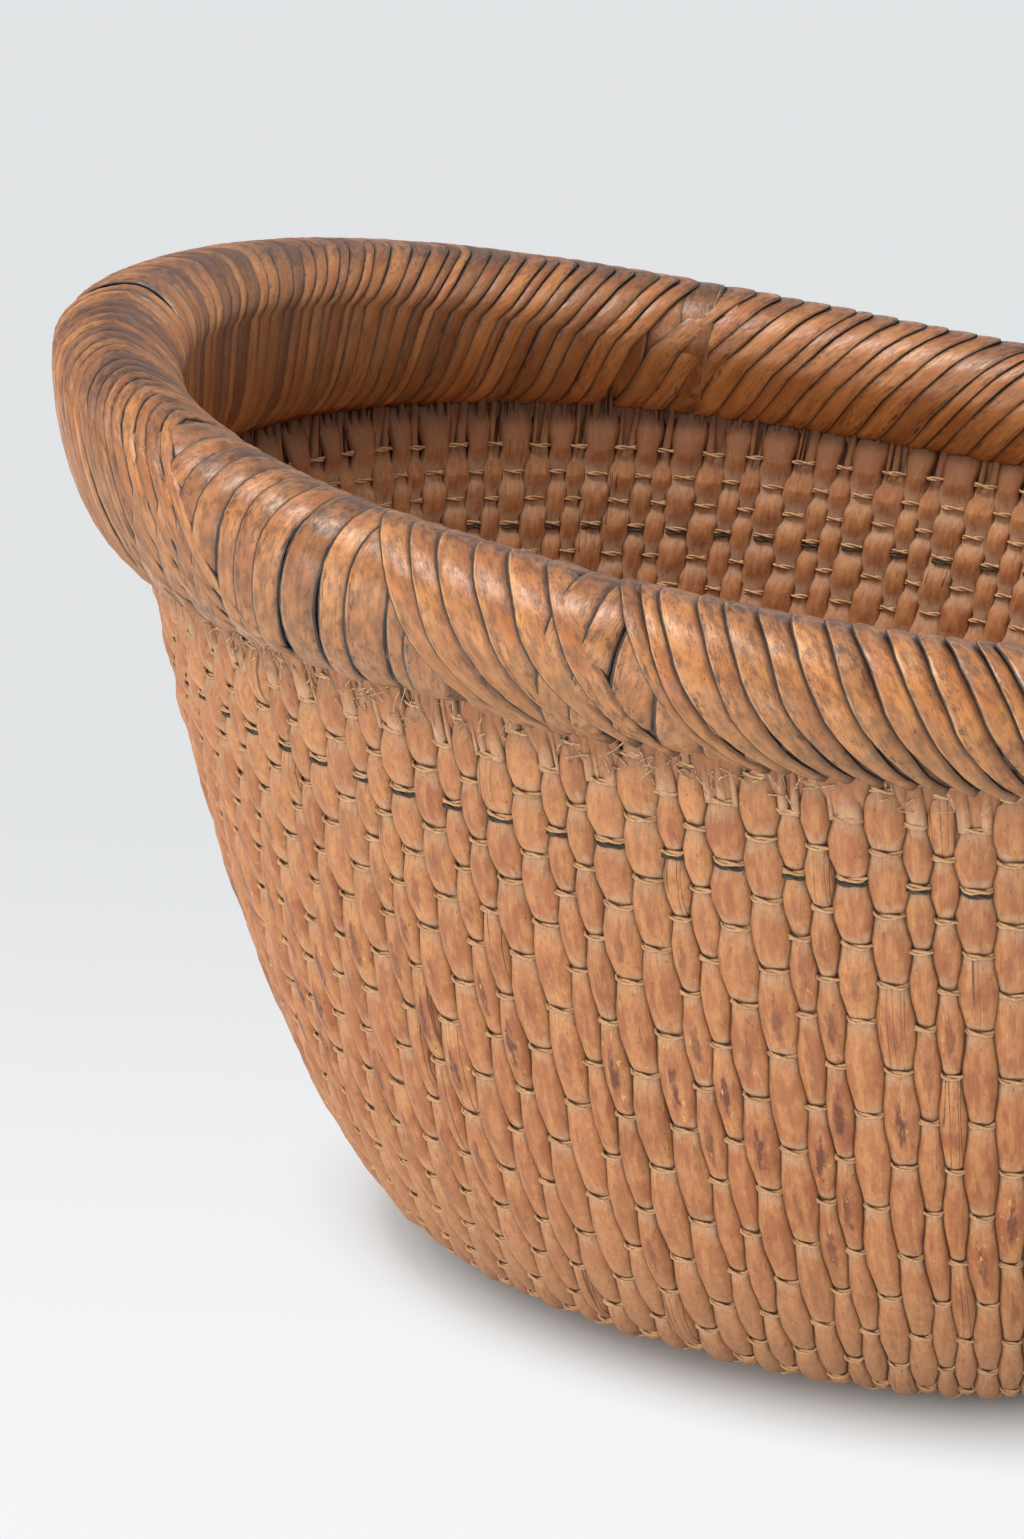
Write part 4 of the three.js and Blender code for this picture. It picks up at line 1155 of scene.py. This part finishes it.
# %% Lay the upright splints under them
UNDER_PITCH, UNDER_PITCH_VARIES, LEAST_REST = 8.0, (0.7, 1.25), 0.002
UNDER_LIFT, UNDER_RAISED = -2.0, 1.0
UNDER_END, UNDER_END_LOWER, UNDER_END_VARIES = -38, 68, 4
UNDER_COVERED, UNDER_TIP = 0.90, 0.25
UNDER_SEED, UNDER_SEEDS, UNDER_NUMBER = 950, 3000, 700
at = 0.0
number = 0
rng = chance(UNDER_SEED)
while at < 1.0 - LEAST_REST:
    step = UNDER_PITCH * rng.uniform(*UNDER_PITCH_VARIES)
    share = at + step / 2 / RIM_LENGTH
    tubes = under_layers[int((share % 1) * RIM_PIECES)]
    lean = rng.normal(0.0, 0.0016) - 0.002
    loose = rng.uniform(1.0, 1.12)
    section = (UNDER_LIFT + UNDER_RAISED * bare(share, 0.0), 1.1, 0.46)
    end = UNDER_END - UNDER_END_LOWER * bare(share, 0.030)
    end = end + rng.uniform(-UNDER_END_VARIES, UNDER_END_VARIES)
    add_splint(tubes, share, step / 2 * loose, (lean, 0.006), section, UNDER_COVERED,
               UNDER_NUMBER + 3 * number, chance(UNDER_SEEDS + number), end, UNDER_TIP,
               brownness_at(share, rng))
    at += step / RIM_LENGTH
    number += 1
print("upright splints:", number)

# %% Build both layers in eight lengths
for length_number in range(RIM_PIECES):
    piece = layers[length_number].build(f"splints_{length_number + 1}", SPLINT)
    dress(piece, "splints", f"rim_wrap_{length_number + 1}")
    piece = under_layers[length_number].build(f"under_splints_{length_number + 1}", UNDER_SPLINT)
    dress(piece, "splints")
print("pieces so far:", len(pieces_made))

# %% [markdown]
# ## The bottom
#
# The bottom is a mat of the same rods lying crosswise, pinched at even distances as ties would do. Its
# underside rests flat on the floor. Five groups of rods fill the oval inside the wall's lower edge, each rod
# cut to the length that the oval leaves it.

# %% Lay the bottom
BASE_GROUPS, BASE_RODS_IN_GROUP = 5, 6
BASE_CORD_PITCH = 11.0
BASE_ROD_STEP = 2.4
UNDER_WALL, SHORTEST_HALF = 2.0, 6
BASE_MIDDLE, BASE_ABOVE, BASE_BELOW = 3.0, 2.3, 2.55
BASE_SEED, BASE_NUMBER = 300, 5000
BASE_EDGE_STEPS = 721
base_edge = wall_at(np.linspace(0, 1, BASE_EDGE_STEPS), WALL_LENGTH, 0.0)[:, :2]
base_half_length = base_edge[:, 0].max()


def half_span(x):
    """Half the width of the bottom at a place along it."""
    upper = base_edge[: BASE_EDGE_STEPS // 2 + 1]
    order = np.argsort(upper[:, 0])
    return np.interp(x, upper[order, 0], upper[order, 1], left=0, right=0)


base_width = 2 * base_half_length / (BASE_GROUPS * BASE_RODS_IN_GROUP)
for group in range(BASE_GROUPS):
    mat = Tubes()
    rng = chance(BASE_SEED + group)
    for place in range(BASE_RODS_IN_GROUP):
        rod = group * BASE_RODS_IN_GROUP + place
        x = -base_half_length + (rod + 0.5) * base_width
        reach = min(half_span(x - base_width / 2), half_span(x + base_width / 2), half_span(x)) + UNDER_WALL
        if reach < SHORTEST_HALF:
            reach = SHORTEST_HALF if half_span(x) > 4 else max(half_span(x), 3)
        y = np.linspace(-reach, reach, max(8, int(2 * reach / BASE_ROD_STEP)))
        wave = np.cos(math.pi * (y / BASE_CORD_PITCH + rod))
        pinch = np.exp(-(((1 + wave) / 0.28) ** 2))
        half = base_width / 2 * (0.98 - 0.1 * pinch)
        middle_height = BASE_MIDDLE + 0.25 * wave
        top = BASE_ABOVE - 0.45 * pinch
        up = SECTION_UP[None, :] * np.where(SECTION_UP > 0, top[:, None], BASE_BELOW)
        height = np.maximum(middle_height[:, None] + up, 0.0)
        across = half[:, None] * SECTION_ACROSS
        points = joined(x + across, y[:, None], height)
        tie = np.clip((1 - pinch) * 0.5, 0, 1)[:, None]
        wear = joined(tie, rng.uniform(), rng.uniform(), np.abs(SECTION_ACROSS))
        number = BASE_NUMBER + NUMBER_A_ROD * rod
        mat.add(points[:, ::-1], y[:, None], across[:, ::-1], number, wear[:, ::-1])
    piece = mat.build(f"bottom_rods_{group + 1}", BASE_WILLOW)
    dress(piece, "base_rods", f"base_rods_{group + 1}")
print("bottom rods:", BASE_GROUPS * BASE_RODS_IN_GROUP, "each", round(base_width, 1), "mm wide")

# %% [markdown]
# ## Floor, backdrop and light
#
# The basket stands in a bright studio. A very large pale floor reaches past the top of the picture, so it is
# also the backdrop. It is nearly white at the basket and fades to one pale grey behind it. The light is soft
# and comes mostly from the left. The lamps are set so that a colour renders about as bright as written.

# %% Floor
BACKDROP = colour(226, 228, 230)
NEAR_PAPER, FLOOR_COLOUR = colour(245, 246, 247), colour(232, 238, 242)
FLOOR_REACH = 14.0
FADE_FROM, FADE_TO = -0.15, 0.35
OWN_FLOOR_TO, PAPER_FROM = 0.056, 0.092
PAPER_OVAL = (0.62, 1.0, 1.0)

floor_mesh = bpy.data.meshes.new("floor")
corners = [(x * FLOOR_REACH, y * FLOOR_REACH, 0) for x, y in ((-1, -1), (1, -1), (1, 1), (-1, 1))]
floor_mesh.from_pydata(corners, [], [(0, 1, 2, 3)])
floor = new_object("floor", floor_mesh)
paint = Finish("floor", 0.9)
paint.shader.inputs["Specular IOR Level"].default_value = 0.1
paint.shader.inputs["Base Color"].default_value = FLOOR_COLOUR
spot = paint.node("ShaderNodeTexCoord").outputs["Object"]
back = paint.vector("DOT_PRODUCT", spot, away)["Value"]
paper_colour = paint.mix(paint.step(back, FADE_FROM, FADE_TO), NEAR_PAPER, BACKDROP)
glow = paint.node("ShaderNodeEmission", {0: paper_colour, 1: 1.0})
seen = paint.node("ShaderNodeLightPath").outputs["Is Camera Ray"]
far_off = paint.vector("LENGTH", paint.vector("MULTIPLY", spot, PAPER_OVAL)[0])["Value"]
share_glow = paint.times(paint.step(far_off, OWN_FLOOR_TO, PAPER_FROM), seen)
shown = {0: share_glow, 1: paint.shader.outputs[0], 2: glow.outputs[0]}
floor_mix = paint.node("ShaderNodeMixShader", shown)
paint.tree.links.new(floor_mix.outputs[0], paint.tree.nodes["Material Output"].inputs["Surface"])
floor_mesh.materials.append(paint.material)
print("floor:", 2 * FLOOR_REACH, "m wide")

# %% World and lamps
WORLD_COLOUR, WORLD_STRENGTH = colour(243, 242, 241), 0.70

world = bpy.data.worlds.new("studio")
bpy.context.scene.world = world
world.use_nodes = True
world_tree = world.node_tree
background = world_tree.nodes["Background"]
seen = world_tree.nodes.new("ShaderNodeBackground")
for shader, tint, strength in ((background, WORLD_COLOUR, WORLD_STRENGTH), (seen, BACKDROP, 1.0)):
    shader.inputs["Color"].default_value = tint
    shader.inputs["Strength"].default_value = strength
ray = world_tree.nodes.new("ShaderNodeLightPath")
choose = world_tree.nodes.new("ShaderNodeMixShader")
for output, into in (
    (ray.outputs["Is Camera Ray"], choose.inputs["Fac"]),
    (background.outputs[0], choose.inputs[1]),
    (seen.outputs[0], choose.inputs[2]),
    (choose.outputs[0], world_tree.nodes["World Output"].inputs["Surface"]),
):
    world_tree.links.new(output, into)


def hang_lamp(name, place, target, size, watts, tint):
    lamp = bpy.data.lights.new(name, "AREA")
    lamp.shape = "SQUARE"
    lamp.size = size
    lamp.energy = watts
    lamp.color = tint[:3]
    holder = new_object(name, lamp)
    holder.location = place
    holder.rotation_euler = (Vector(target) - Vector(place)).to_track_quat("-Z", "Y").to_euler()


hang_lamp("key", (-2.0, -3.5, 0.85), (0, 0, 0.12), 1.9, 62, colour(255, 251, 246))
hang_lamp("top", (-0.6, -0.5, 2.6), (0, 0, 0.1), 1.1, 66, colour(255, 252, 247))
hang_lamp("low", (0.5, -2.6, 0.3), (0, 0, 0.06), 0.9, 20, colour(255, 252, 246))
print("lamps: key, top and low")

# %% Colour management, sizes and the end
bpy.context.scene.view_settings.view_transform = "Standard"
print("pieces:", len(pieces_made), "faces:", sum(len(piece.data.polygons) for piece in pieces_made))
